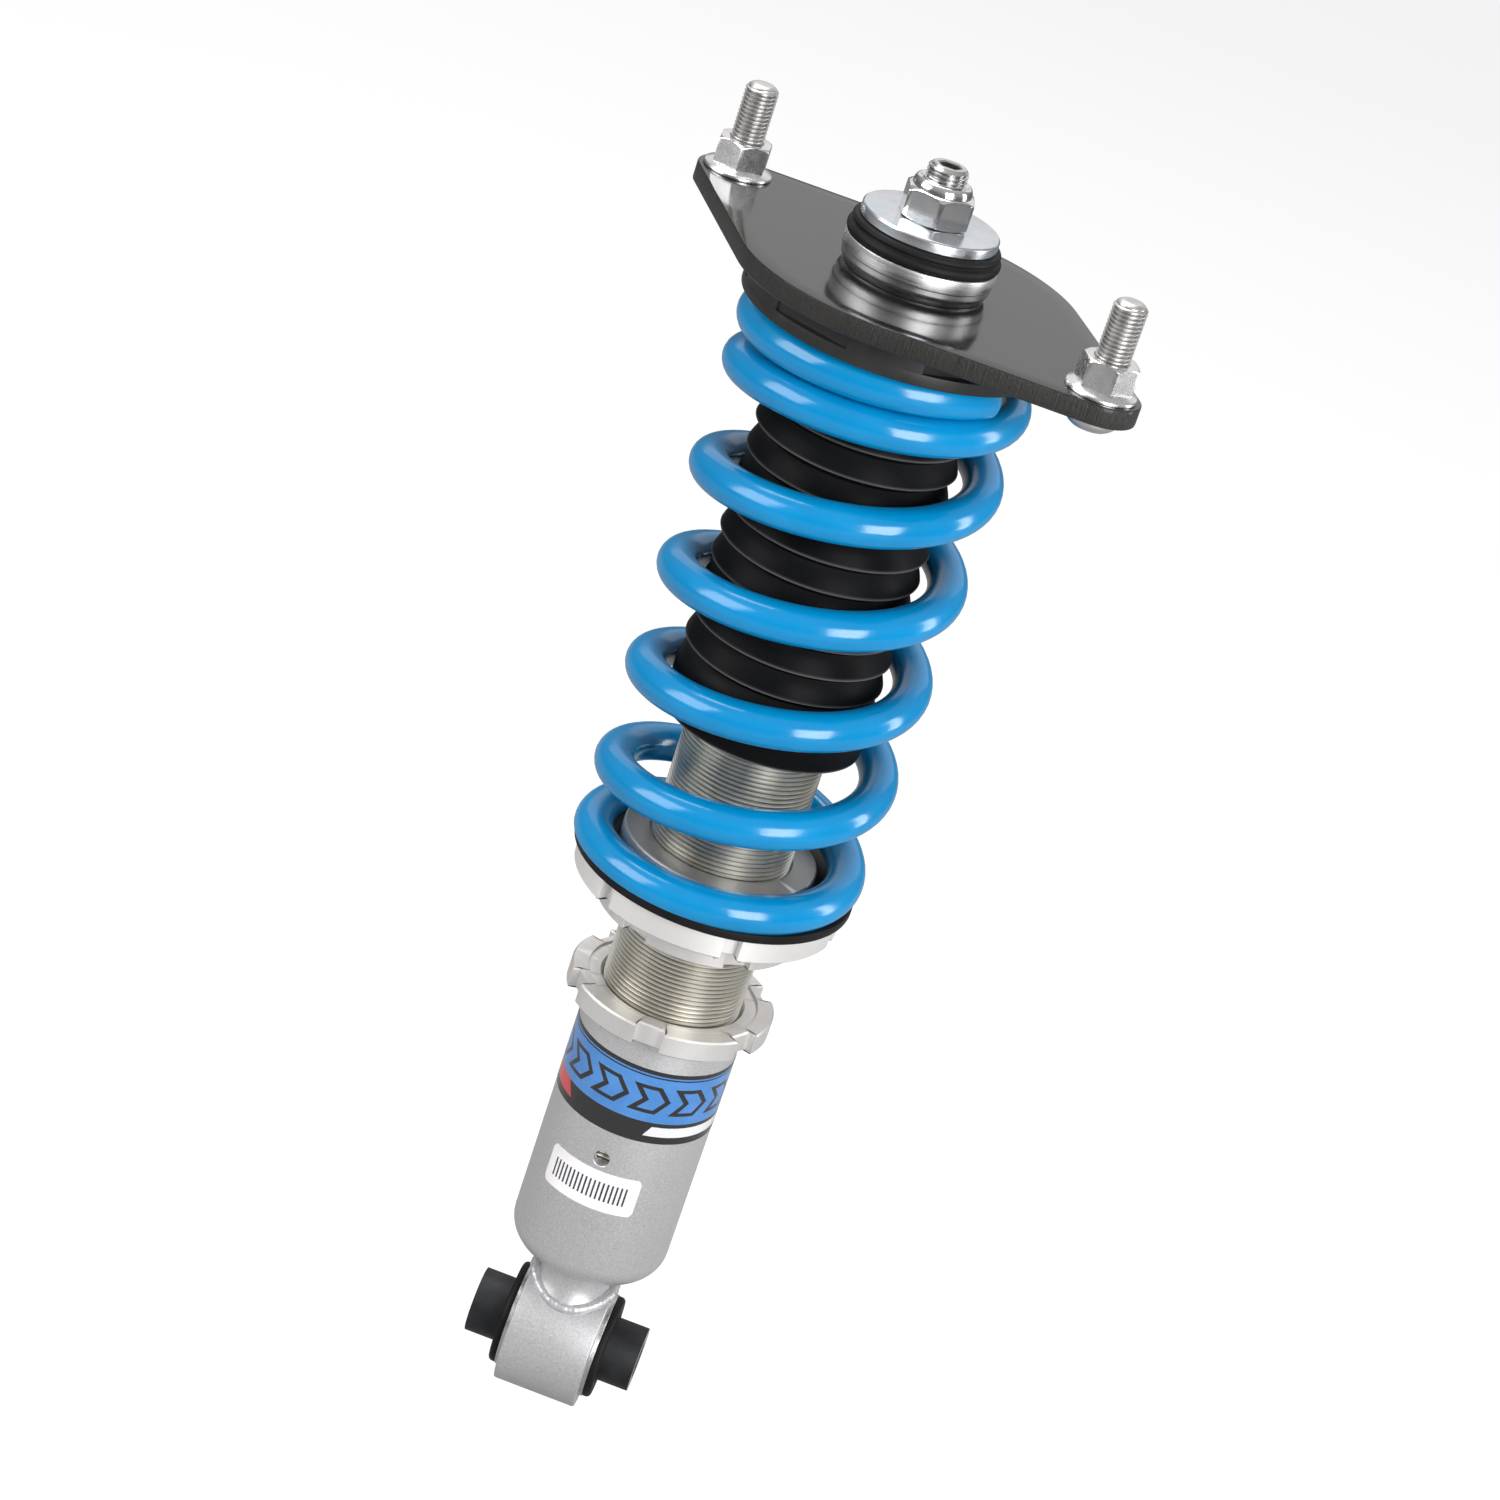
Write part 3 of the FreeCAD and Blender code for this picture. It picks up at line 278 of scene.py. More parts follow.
def bellows_tree():
    """Skin of a pleated boot: plain cuff, shoulder, equal rounded pleats and a plain collar."""
    tree, given, results = new_tree("bellows", "GeometryNodeTree", [
        ("Crest", "Float", 0.03), ("Valley", "Float", 0.026), ("Collar", "Float", 0.028),
        ("Cuff Bottom", "Float", 0.0), ("Cuff Top", "Float", 0.01), ("First Lip", "Float", 0.02),
        ("Pitch", "Float", 0.009), ("Pleats", "Int", 12), ("Top", "Float", 0.15),
        ("Underside", "Float", 0.15), ("Steps", "Int", 96), ("Rows", "Int", 300),
        ("Material", "Material", None)], [("Geometry", "Geometry")])
    columns = maths(tree, "ADD", given["Steps"], 1.0)
    grid = add(tree, "GeometryNodeMeshGrid", {
        "Size X": 1.0, "Size Y": 1.0, "Vertices X": columns, "Vertices Y": given["Rows"]}).outputs[0]
    place = parts(tree, "GeometryNodeInputPosition")
    height = ramp(tree, place[1], -0.5, 0.5, given["Cuff Bottom"], given["Top"])
    pleat = maths(tree, "DIVIDE", maths(tree, "SUBTRACT", height, given["First Lip"]), given["Pitch"])
    rise = maths(tree, "FRACT", pleat)
    back = maths(tree, "SUBTRACT", 1.0, given["Underside"])
    lobe = leaning(tree, maths(tree, "DIVIDE", rise, back))
    under = ramp(tree, rise, back, 1.0)
    bulge = maths(tree, "MAXIMUM", lobe, under)
    gap_top = maths(tree, "SUBTRACT", given["First Lip"],
                    maths(tree, "MULTIPLY", given["Underside"], given["Pitch"]))
    shoulder = quarter_round(tree, ramp(tree, height, given["Cuff Top"], gap_top))
    in_cuff = maths(tree, "LESS_THAN", height, gap_top)
    bulge = add(tree, "ShaderNodeMix", {0: in_cuff, 2: bulge, 3: shoulder}).outputs[0]
    swing = maths(tree, "SUBTRACT", given["Crest"], given["Valley"])
    pleated = maths(tree, "MULTIPLY_ADD", bulge, swing, given["Valley"])
    last = maths(tree, "SUBTRACT", given["Pleats"], given["Underside"])
    pleats_top = maths(tree, "MULTIPLY_ADD", last, given["Pitch"], given["First Lip"])
    collar = ramp(tree, height, pleats_top, given["Top"], given["Valley"], given["Collar"])
    above = maths(tree, "GREATER_THAN", height, pleats_top)
    radius = add(tree, "ShaderNodeMix", {0: above, 2: pleated, 3: collar}).outputs[0]
    angle = maths(tree, "MULTIPLY", place[0], TAU)
    skin = add(tree, "GeometryNodeSetPosition",
               {"Geometry": grid, "Position": turned_position(tree, radius, angle, height)})
    welded = add(tree, "GeometryNodeMergeByDistance",
                 {"Geometry": skin.outputs[0], "Distance": WELD_DISTANCE})
    finish_geometry(tree, welded.outputs[0], given["Material"], results)
    return tree


def weld_tree():
    """Overlapping weld drops round a ring that may lie on a barrel across the strut."""
    tree, given, results = new_tree("weld_bead", "GeometryNodeTree", [
        ("Ring Radius", "Float", 0.011), ("Barrel Radius", "Float", 0.0), ("Level", "Float", 0.0),
        ("Drops", "Int", 30), ("Drop Radius", "Float", 0.0022), ("Seed", "Int", 4),
        ("Material", "Material", None)], [("Geometry", "Geometry")])
    ring = add(tree, "GeometryNodeMeshCircle",
               {"Vertices": given["Drops"], "Radius": given["Ring Radius"]}).outputs[0]
    place = parts(tree, "GeometryNodeInputPosition")
    squared = maths(tree, "MULTIPLY", given["Barrel Radius"], given["Barrel Radius"])
    across = maths(tree, "MULTIPLY", place[1], place[1])
    saddle = maths(tree, "SQRT", maths(tree, "MAXIMUM", maths(tree, "SUBTRACT", squared, across), 0.0))
    height = maths(tree, "MAXIMUM", saddle, given["Level"])
    spot = add(tree, "ShaderNodeCombineXYZ",
               {0: place[0], 1: place[1], 2: height}).outputs[0]
    seats = add(tree, "GeometryNodeSetPosition", {"Geometry": ring, "Position": spot})
    drop = add(tree, "GeometryNodeMeshIcoSphere",
               {"Radius": given["Drop Radius"], "Subdivisions": 3}).outputs[0]
    size = add(tree, "FunctionNodeRandomValue", {2: 0.9, 3: 1.12, 8: given["Seed"]}, data_type="FLOAT")
    drops = add(tree, "GeometryNodeInstanceOnPoints",
                {"Points": seats.outputs[0], "Instance": drop, "Scale": size.outputs[1]})
    finish_geometry(tree, drops.outputs[0], given["Material"], results)
    return tree


def grown(name, tree, values, after=()):
    """Run a geometry tree, and any modifiers after it, and return the plain mesh."""
    carrier = bpy.data.objects.new(name, bpy.data.meshes.new(name))
    bpy.context.collection.objects.link(carrier)
    modifier = carrier.modifiers.new("grow", "NODES")
    modifier.node_group = tree
    for item in tree.interface.items_tree:
        if item.in_out == "INPUT" and item.name in values:
            modifier[item.identifier] = values[item.name]
    for kind, settings in after:
        extra = carrier.modifiers.new(kind.lower(), kind)
        for setting, value in settings.items():
            setattr(extra, setting, value)
    shown = carrier.evaluated_get(bpy.context.evaluated_depsgraph_get())
    mesh = bpy.data.meshes.new_from_object(shown)
    bpy.data.objects.remove(carrier)
    mesh.name = name
    return mesh


# Mesh work ------------------------------------------------------------------------------------
def eased(corners, steps=3):
    """Closed outline whose corners, given as (x, y, easing), are rounded by their easing."""
    points = []
    count = len(corners)
    for k, (x, y, ease) in enumerate(corners):
        here = Vector((x, y))
        if not ease:
            points.append(here)
            continue
        back = Vector(corners[k - 1][:2]) - here
        ahead = Vector(corners[(k + 1) % count][:2]) - here
        start = here + back.normalized() * min(ease, back.length * 0.45)
        end = here + ahead.normalized() * min(ease, ahead.length * 0.45)
        for step in range(steps + 1):
            share = step / steps
            curve = start * (1 - share) ** 2 + here * 2 * share * (1 - share) + end * share ** 2
            points.append(curve)
    return points


def millimetres(corners):
    """Eased outline from corners given in millimetres."""
    return eased([(x * MM, y * MM, ease * MM) for x, y, ease in corners])


def circle(radius, height, angles):
    """Points round the strut axis."""
    return [Vector((radius * math.cos(a), radius * math.sin(a), height)) for a in angles]


def loft(solid, loops, place, closed=True):
    """Skin equal loops one after another and, when closed, the last back to the first."""
    rings = [[solid.verts.new(place @ point) for point in loop] for loop in loops]
    count = len(rings[0])
    following_rings = rings[1:] + rings[:1] if closed else rings[1:]
    for ring, following in zip(rings, following_rings):
        for step in range(count):
            other = (step + 1) % count
            solid.faces.new((ring[step], ring[other], following[other], following[step]))


def lathe(solid, outline, place=Matrix(), around=AROUND):
    """Turn a closed (radius, height) outline about Z."""
    angles = [TAU * k / around for k in range(around)]
    loft(solid, [circle(radius, height, angles) for radius, height in outline], place)


def hexagon_reach(flats, angle=0.0):
    """Distance from a hexagon's centre to its side, the angle measured from a corner."""
    return flats / 2 / math.cos(angle % (TAU / 6) - TAU / 12)


def hexagonal(solid, outline, flats, turn, place=Matrix(), around=96):
    """Turn an outline and cut it by six flats, one corner pointing along the turn."""
    angles = [turn + TAU * k / around for k in range(around)]
    loops = []
    for radius, height in outline:
        loop = []
        for angle in angles:
            loop += circle(min(radius, hexagon_reach(flats, angle - turn)), height, [angle])
        loops.append(loop)
    loft(solid, loops, place)


def inward(outline):
    """Step inward at each point of an anticlockwise outline that keeps its sides parallel."""
    steps = []
    count = len(outline)
    for k, point in enumerate(outline):
        coming = (point - outline[k - 1]).normalized()
        going = (outline[(k + 1) % count] - point).normalized()
        one = Vector((-coming.y, coming.x))
        middle = (one + Vector((-going.y, going.x))).normalized()
        steps.append(middle / max(0.3, middle.dot(one)))
    return steps


def rimmed(solid, outline, rim, bore, place=Matrix()):
    """Solid with a shaped rim, its (inset, height) pairs outside and (radius, height) pairs inside."""
    steps = inward(outline)
    loops = []
    for inset, height in rim:
        loops.append([(point + step * inset).to_3d() + Vector((0, 0, height))
                      for point, step in zip(outline, steps)])
    angles = [math.atan2(point.y, point.x) for point in outline]
    loops += [circle(radius, height, angles) for radius, height in bore]
    loft(solid, loops, place)


def notched(rim, floor, half, first, ease, arc_steps=14, count=6):
    """Round outline with parallel-sided notches."""
    corners = []
    lip = math.sqrt(rim ** 2 - half ** 2)
    opening = math.asin(half / rim)
    for k in range(count):
        centre = first + TAU * k / count
        spin = Matrix.Rotation(centre, 2)
        for x, y in ((lip, -half), (floor, -half), (floor, half), (lip, half)):
            corner = spin @ Vector((x, y))
            corners.append((corner.x, corner.y, ease))
        start = centre + opening
        sweep = TAU / count - 2 * opening
        for step in range(1, arc_steps):
            angle = start + sweep * step / arc_steps
            corners.append((rim * math.cos(angle), rim * math.sin(angle), 0.0))
    return eased(corners)


def crisp(mesh, degrees=SHARP):
    """Smooth faces with crisp edges past an angle."""
    mesh.polygons.foreach_set("use_smooth", [True] * len(mesh.polygons))
    mesh.set_sharp_from_angle(angle=math.radians(degrees))


def tidy(solid):
    """Weld doubles, drop loose edges and turn every face outward."""
    bmesh.ops.remove_doubles(solid, verts=solid.verts, dist=WELD_DISTANCE)
    loose = [edge for edge in solid.edges if not edge.link_faces]
    bmesh.ops.delete(solid, geom=loose, context="EDGES")
    alone = [vert for vert in solid.verts if not vert.link_faces]
    bmesh.ops.delete(solid, geom=alone, context="VERTS")
    bmesh.ops.recalc_face_normals(solid, faces=solid.faces)


def piece(name, shape, material, body, *nodes, sharp=SHARP):
    """Finished object from a bmesh or a mesh: it rides on a body and stands for its CAD nodes."""
    mesh = shape
    if isinstance(shape, bpy.types.Mesh):
        solid = bmesh.new()
        solid.from_mesh(mesh)
    else:
        solid = shape
        mesh = bpy.data.meshes.new(name)
    tidy(solid)
    solid.to_mesh(mesh)
    solid.free()
    crisp(mesh, sharp)
    mesh.materials.clear()
    mesh.materials.append(material)
    obj = bpy.data.objects.new(name, mesh)
    bpy.context.collection.objects.link(obj)
    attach(obj, body)
    if nodes:
        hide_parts(*nodes)
    return obj


def turned(name, outline, material_used, body, *nodes, place=Matrix(), around=AROUND, sharp=SHARP):
    """Finished object that is one outline turned about Z."""
    solid = bmesh.new()
    lathe(solid, outline, place, around)
    return piece(name, solid, material_used, body, *nodes, sharp=sharp)


# Shared surface effects -----------------------------------------------------------------------
def grain_group():
    """Even fine grain as a mask and a height."""
    tree, given, results = new_tree("fine_grain", "ShaderNodeTree", [
        ("Size", "Float", 0.0005), ("Contrast", "Float", 0.2)], [("Mask", "Float"), ("Height", "Float")])
    scale = maths(tree, "DIVIDE", 1.0, given["Size"])
    noise = add(tree, "ShaderNodeTexNoise", {
        "Vector": add(tree, "ShaderNodeTexCoord").outputs["Object"], "Scale": scale, "Detail": 3.0})
    spread = maths(tree, "MULTIPLY", given["Contrast"], 0.5)
    mask = ramp(tree, noise.outputs[0], maths(tree, "SUBTRACT", 0.5, spread),
                maths(tree, "ADD", 0.5, spread))
    tree.links.new(mask, results["Mask"])
    tree.links.new(noise.outputs[0], results["Height"])
    return tree


def turning_group():
    """Fine rings left by a lathe tool round the strut axis."""
    tree, given, results = new_tree("turning_marks", "ShaderNodeTree", [
        ("Spacing", "Float", 0.0003), ("Wander", "Float", 0.02)], [("Mask", "Float"), ("Height", "Float")])
    place = parts(tree, "ShaderNodeTexCoord", "Object")
    radius = maths(tree, "SQRT", maths(tree, "ADD", maths(tree, "MULTIPLY", place[0], place[0]),
                                       maths(tree, "MULTIPLY", place[1], place[1])))
    angle = maths(tree, "MULTIPLY", maths(tree, "ARCTAN2", place[1], place[0]), given["Wander"])
    scale = maths(tree, "DIVIDE", 1.0, given["Spacing"])
    spot = add(tree, "ShaderNodeCombineXYZ", {
        0: maths(tree, "MULTIPLY", radius, scale), 1: maths(tree, "MULTIPLY", place[2], scale),
        2: maths(tree, "MULTIPLY", angle, 50.0)}).outputs[0]
    noise = add(tree, "ShaderNodeTexNoise", {"Vector": spot, "Scale": 1.0, "Detail": 2.0})
    tree.links.new(ramp(tree, noise.outputs[0], 0.35, 0.65), results["Mask"])
    tree.links.new(noise.outputs[0], results["Height"])
    return tree


def blotch_group():
    """Broad soft patches, as from handling and uneven plating."""
    tree, given, results = new_tree("soft_patches", "ShaderNodeTree", [
        ("Size", "Float", 0.012), ("Stretch", "Float", 1.0)], [("Mask", "Float")])
    place = parts(tree, "ShaderNodeTexCoord", "Object")
    spot = add(tree, "ShaderNodeCombineXYZ", {
        0: place[0], 1: place[1], 2: maths(tree, "MULTIPLY", place[2], given["Stretch"])}).outputs[0]
    noise = add(tree, "ShaderNodeTexNoise", {
        "Vector": spot, "Scale": maths(tree, "DIVIDE", 1.0, given["Size"]), "Detail": 4.0,
        "Roughness": 0.6})
    tree.links.new(ramp(tree, noise.outputs[0], 0.35, 0.65), results["Mask"])
    return tree


def edge_group():
    """Raised edges and hollows, told from the bend of the surface."""
    tree, given, results = new_tree("edges_and_hollows", "ShaderNodeTree", [
        ("Reach", "Float", 0.06)], [("Edge", "Float"), ("Hollow", "Float")])
    bend = add(tree, "ShaderNodeNewGeometry").outputs["Pointiness"]
    tree.links.new(ramp(tree, bend, 0.505, maths(tree, "ADD", 0.505, given["Reach"])), results["Edge"])
    tree.links.new(ramp(tree, bend, 0.495, maths(tree, "SUBTRACT", 0.495, given["Reach"])),
                   results["Hollow"])
    return tree


GRAIN = grain_group()
TURNING = turning_group()
PATCHES = blotch_group()
EDGES = edge_group()


# Materials ------------------------------------------------------------------------------------
def material(name, **constants):
    """New material: its tree and its shader, with the constants set on the shader's own sockets."""
    made = bpy.data.materials.new(name)
    made.use_nodes = True
    shader = made.node_tree.nodes["Principled BSDF"]
    for label, value in constants.items():
        shader.inputs[label.replace("_", " ")].default_value = value
    return made, made.node_tree, shader.inputs


def effect(tree, group, **values):
    """One of the shared effects with its own values."""
    node = tree.nodes.new("ShaderNodeGroup")
    node.node_tree = group
    for label, value in values.items():
        node.inputs[label].default_value = value
    return node.outputs


def blend(tree, share, first, second):
    """Mix of two colours."""
    node = add(tree, "ShaderNodeMix", {0: share, 6: first, 7: second}, data_type="RGBA")
    return node.outputs[2]


def raise_surface(tree, sockets, height, distance, strength=1.0, under=None):
    """Bump from a height, laid over another bump if one is given."""
    values = {"Height": height, "Distance": distance, "Strength": strength}
    if under is not None:
        values["Normal"] = under
    bump = add(tree, "ShaderNodeBump", values)
    tree.links.new(bump.outputs[0], sockets["Normal"])
    return bump.outputs[0]


def roughen(tree, sockets, share, least, most):
    """Roughness that follows a mask."""
    tree.links.new(ramp(tree, share, 0, 1, least, most), sockets["Roughness"])


def tint(tree, sockets, share, first, second):
    """Base colour that goes from one colour to another as a mask does."""
    tree.links.new(blend(tree, share, first, second), sockets["Base Color"])


def rgb(red, green, blue):
    """Colour with full opacity."""
    return (red, green, blue, 1.0)


def blue_spring():
    """Glossy blue powder coat with a faint orange peel."""
    made, tree, sockets = material("blue_spring")
    patches = effect(tree, PATCHES, Size=0.03)
    tint(tree, sockets, patches["Mask"], rgb(0.0, 0.205, 0.46), rgb(0.001, 0.235, 0.52))
    roughen(tree, sockets, patches["Mask"], 0.14, 0.2)
    peel = effect(tree, GRAIN, Size=0.0016)
    raise_surface(tree, sockets, peel["Height"], 0.00004, 0.35)
    return made


def plate_black():
    """Gloss black coat on steel, with a sheared and pitted edge."""
    made, tree, sockets = material("plate_black", Specular_IOR_Level=0.4, Coat_Weight=0.2,
                                   Coat_Roughness=0.05)
    patches = effect(tree, PATCHES, Size=0.02)
    upright = parts(tree, "ShaderNodeNewGeometry", "Normal")[2]
    side = ramp(tree, maths(tree, "ABSOLUTE", upright), 0.6, 0.3)
    flat_rough = ramp(tree, patches["Mask"], 0, 1, 0.12, 0.2)
    rough = add(tree, "ShaderNodeMix", {0: side, 2: flat_rough, 3: 0.42}).outputs[0]
    tree.links.new(rough, sockets["Roughness"])
    tone = blend(tree, patches["Mask"], rgb(0.006, 0.0056, 0.0052), rgb(0.012, 0.0112, 0.0105))
    wear = effect(tree, GRAIN, Size=0.0005, Contrast=0.25)
    pits = maths(tree, "MULTIPLY", wear["Mask"], maths(tree, "MULTIPLY", side, 0.12))
    tint(tree, sockets, pits, tone, rgb(0.06, 0.055, 0.05))
    shear = effect(tree, PATCHES, Size=0.0006, Stretch=0.05)
    ribs = maths(tree, "MULTIPLY", shear["Mask"], side)
    cut = raise_surface(tree, sockets, ribs, 0.00018, 0.6)
    raise_surface(tree, sockets, maths(tree, "MULTIPLY", wear["Mask"], side), 0.00006, 0.5, cut)
    return made


def plain_black(name, colour, roughness, gloss, size, height, edge_highlight=0.0):
    """Rubber, foam or moulded black with its own grain; a painted highlight can make its sharp edges paler.
    """
    made, tree, sockets = material(name, Specular_IOR_Level=gloss)
    patches = effect(tree, PATCHES, Size=0.015)
    grain = effect(tree, GRAIN, Size=size)
    light = rgb(*[value * 1.6 for value in colour])
    # painted highlight: sharp edges, such as the boot's pleat lips, are lightened towards pale grey as if
    # they caught the light
    edge = maths(tree, "MULTIPLY", effect(tree, EDGES, Reach=0.08)["Edge"], edge_highlight)
    tone = blend(tree, patches["Mask"], rgb(*colour), light)
    tint(tree, sockets, edge, tone, rgb(0.3, 0.3, 0.3))
    roughen(tree, sockets, patches["Mask"], roughness - 0.05, roughness + 0.06)
    raise_surface(tree, sockets, grain["Height"], height, 0.6)
    return made


def plated_steel(name, first, second, roughness, dark=0.35, grain_size=0.0005):
    """Plated metal whose tint wanders, with painted shade darkening its hollows."""
    made, tree, sockets = material(name, Metallic=1.0)
    patches = effect(tree, PATCHES, Size=0.006)
    edges = effect(tree, EDGES, Reach=0.08)
    colour = blend(tree, patches["Mask"], first, second)
    # painted shade: hollows such as thread roots are darkened towards a dark copy of the first colour
    painted_hollow_shade = rgb(*[value * dark for value in first[:3]])
    tint(tree, sockets, edges["Hollow"], colour, painted_hollow_shade)
    grain = effect(tree, GRAIN, Size=grain_size, Contrast=0.5)
    roughen(tree, sockets, grain["Mask"], roughness - 0.02, roughness + 0.04)
    raise_surface(tree, sockets, grain["Height"], 0.00001, 0.06)
    return made


def turned_metal(name, first, second, roughness, spacing, height, stretch=0.0):
    """Turned metal with fine rings and broad changes of tone."""
    made, tree, sockets = material(name, Metallic=1.0, Anisotropic=stretch)
    if stretch:
        ring = add(tree, "ShaderNodeTangent", direction_type="RADIAL", axis="Z")
        tree.links.new(ring.outputs[0], sockets["Tangent"])
    patches = effect(tree, PATCHES, Size=0.008, Stretch=0.3)
    rings = effect(tree, TURNING, Spacing=spacing)
    tint(tree, sockets, patches["Mask"], first, second)
    roughen(tree, sockets, rings["Mask"], roughness - 0.06, roughness + 0.06)
    raise_surface(tree, sockets, rings["Height"], height, 0.6)
    return made


def thread_plating():
    """Yellowish plating on the cut thread, with painted shade between the crests."""
    made, tree, sockets = material("thread_plating", Metallic=1.0)
    patches = effect(tree, PATCHES, Size=0.011, Stretch=0.4)
    edges = effect(tree, EDGES, Reach=0.05)
    colour = blend(tree, patches["Mask"], rgb(0.70, 0.68, 0.61), rgb(0.80, 0.785, 0.74))
    # painted shade: the roots between the crests are darkened towards a dark brown
    tint(tree, sockets, edges["Hollow"], colour, rgb(0.13, 0.115, 0.09))
    roughen(tree, sockets, patches["Mask"], 0.31, 0.37)
    return made


def satin_aluminium(tone=1.0):
    """Fine-blasted, anodised aluminium with a painted highlight on its edges; a tone under one darkens it
    all, as painted shade.
    """
    made, tree, sockets = material("satin_aluminium", Metallic=0.85)
    grain = effect(tree, GRAIN, Size=0.0004, Contrast=0.5)
    patches = effect(tree, PATCHES, Size=0.01)
    edges = effect(tree, EDGES, Reach=0.06)
    base = blend(tree, patches["Mask"], rgb(0.76 * tone, 0.74 * tone, 0.725 * tone),
                 rgb(0.82 * tone, 0.805 * tone, 0.79 * tone))
    speck = blend(tree, maths(tree, "MULTIPLY", grain["Mask"], 0.35), base,
                  rgb(0.62 * tone, 0.60 * tone, 0.59 * tone))
    # painted highlight: raised edges are lightened towards near white as if they caught the light
    tint(tree, sockets, edges["Edge"], speck, rgb(0.95, 0.94, 0.93))
    roughen(tree, sockets, grain["Mask"], 0.42, 0.52)
    raise_surface(tree, sockets, grain["Height"], 0.00006, 0.5)
    return made


def silver_paint():
    """Silver paint with visible metal flakes."""
    made, tree, sockets = material("silver_paint", Metallic=0.6, Coat_Weight=0.1, Coat_Roughness=0.3)
    spot = add(tree, "ShaderNodeTexCoord").outputs["Object"]
    flakes = add(tree, "ShaderNodeTexVoronoi", {"Vector": spot, "Scale": 3600.0})
    flake = add(tree, "ShaderNodeSeparateColor", {0: flakes.outputs["Color"]}).outputs[0]
    grain = effect(tree, GRAIN, Size=0.0006, Contrast=0.5)
    tone = maths(tree, "MULTIPLY", maths(tree, "ADD", flake, grain["Mask"]), 0.5)
    tint(tree, sockets, tone, rgb(0.41, 0.41, 0.42), rgb(0.63, 0.63, 0.64))
    roughen(tree, sockets, flake, 0.36, 0.52)
    raise_surface(tree, sockets, grain["Height"], 0.00006, 0.5)
    return made


def sleeve_black():
    """Black coat on a steel sleeve whose end faces are bare."""
    made, tree, sockets = material("sleeve_black", Specular_IOR_Level=0.28)
    facing = parts(tree, "ShaderNodeNewGeometry", "Normal")[0]
    bare = ramp(tree, maths(tree, "ABSOLUTE", facing), 0.85, 0.95)
    grain = effect(tree, GRAIN, Size=0.0006, Contrast=0.4)
    patches = effect(tree, PATCHES, Size=0.009)
    coat = blend(tree, patches["Mask"], rgb(0.008, 0.0085, 0.0095), rgb(0.018, 0.019, 0.022))
    metal = blend(tree, grain["Mask"], rgb(0.42, 0.42, 0.43), rgb(0.66, 0.66, 0.67))
    tint(tree, sockets, bare, coat, metal)
    tree.links.new(bare, sockets["Metallic"])
    roughen(tree, sockets, grain["Mask"], 0.42, 0.6)
    raise_surface(tree, sockets, grain["Height"], 0.00006, 0.6)
    return made


def label_film():
    """Printed band: blue field between black borders, hollow arrows, a red wedge, a pale bar."""
    made, tree, sockets = material("label_film", Roughness=0.22, Coat_Weight=0.5, Coat_Roughness=0.1)
    place = parts(tree, "ShaderNodeUVMap", uv_map="label")
    along, up = place[0], place[1]

    field = inside(tree, up, 0.29, 0.905)
    pin_line = inside(tree, up, 0.925, 0.945)
    off_middle = maths(tree, "ABSOLUTE", maths(tree, "SUBTRACT", up, 0.6))
    arrow = maths(tree, "MULTIPLY_ADD", off_middle, 0.16, along)
    cell = maths(tree, "FRACT", maths(tree, "MULTIPLY", arrow, 10.0))
    off_centre = maths(tree, "ABSOLUTE", maths(tree, "SUBTRACT", cell, 0.5))
    outer = maths(tree, "MULTIPLY", maths(tree, "LESS_THAN", off_centre, 0.34),
                  maths(tree, "LESS_THAN", off_middle, 0.19))
    inner = maths(tree, "MULTIPLY", maths(tree, "LESS_THAN", off_centre, 0.19),
                  maths(tree, "LESS_THAN", off_middle, 0.14))
    arrows = maths(tree, "SUBTRACT", outer, inner)
    blue_area = maths(tree, "MULTIPLY", field, maths(tree, "SUBTRACT", 1.0, arrows))
    blue_area = maths(tree, "MAXIMUM", blue_area, pin_line)
    pale_bar = maths(tree, "MULTIPLY", inside(tree, up, 0.1, 0.235),
                     inside(tree, maths(tree, "MULTIPLY_ADD", up, -0.12, along), 0.53, 0.76))
    wedge = maths(tree, "MULTIPLY", inside(tree, up, 0.1, 0.3),
                  inside(tree, maths(tree, "MULTIPLY_ADD", up, 0.12, along), 0.20, 0.352))
    fade = effect(tree, PATCHES, Size=0.01)
    blue = blend(tree, fade["Mask"], rgb(0.05, 0.195, 0.50), rgb(0.07, 0.235, 0.57))
    colour = blend(tree, blue_area, rgb(0.014, 0.013, 0.014), blue)
    colour = blend(tree, wedge, colour, rgb(0.55, 0.045, 0.05))
    tint(tree, sockets, pale_bar, colour, rgb(0.70, 0.71, 0.73))
    ripple = effect(tree, PATCHES, Size=0.004, Stretch=0.06)
    raise_surface(tree, sockets, ripple["Mask"], 0.0002, 0.5)
    return made


def label_white():
    """Small white label with a row of plain dark ticks."""
    made, tree, sockets = material("label_white", Coat_Weight=0.2)
    place = parts(tree, "ShaderNodeUVMap", uv_map="label")
    cell = maths(tree, "FRACT", maths(tree, "MULTIPLY", place[0], 22.0))
    tick = maths(tree, "MULTIPLY", maths(tree, "LESS_THAN", cell, 0.42),
                 inside(tree, place[1], 0.26, 0.74))
    tick = maths(tree, "MULTIPLY", tick, inside(tree, place[0], 0.09, 0.91))
    fade = effect(tree, PATCHES, Size=0.006)
    paper = blend(tree, fade["Mask"], rgb(0.80, 0.78, 0.77), rgb(0.86, 0.845, 0.835))
    tint(tree, sockets, tick, paper, rgb(0.03, 0.035, 0.06))
    roughen(tree, sockets, fade["Mask"], 0.35, 0.45)
    return made


def floor_white():
    """Pale floor, even to look at and duller in its reflection on the object."""
    made, tree, sockets = material("floor_white", Roughness=1.0, Emission_Strength=1.0)
    sockets["Specular IOR Level"].default_value = 0.0
    seen = add(tree, "ShaderNodeLightPath").outputs["Is Camera Ray"]
    tint(tree, sockets, seen, rgb(0.30, 0.30, 0.30), rgb(0.24, 0.24, 0.24))
    tree.links.new(blend(tree, seen, rgb(0, 0, 0), rgb(0.78, 0.78, 0.785)), sockets["Emission Color"])
    return made


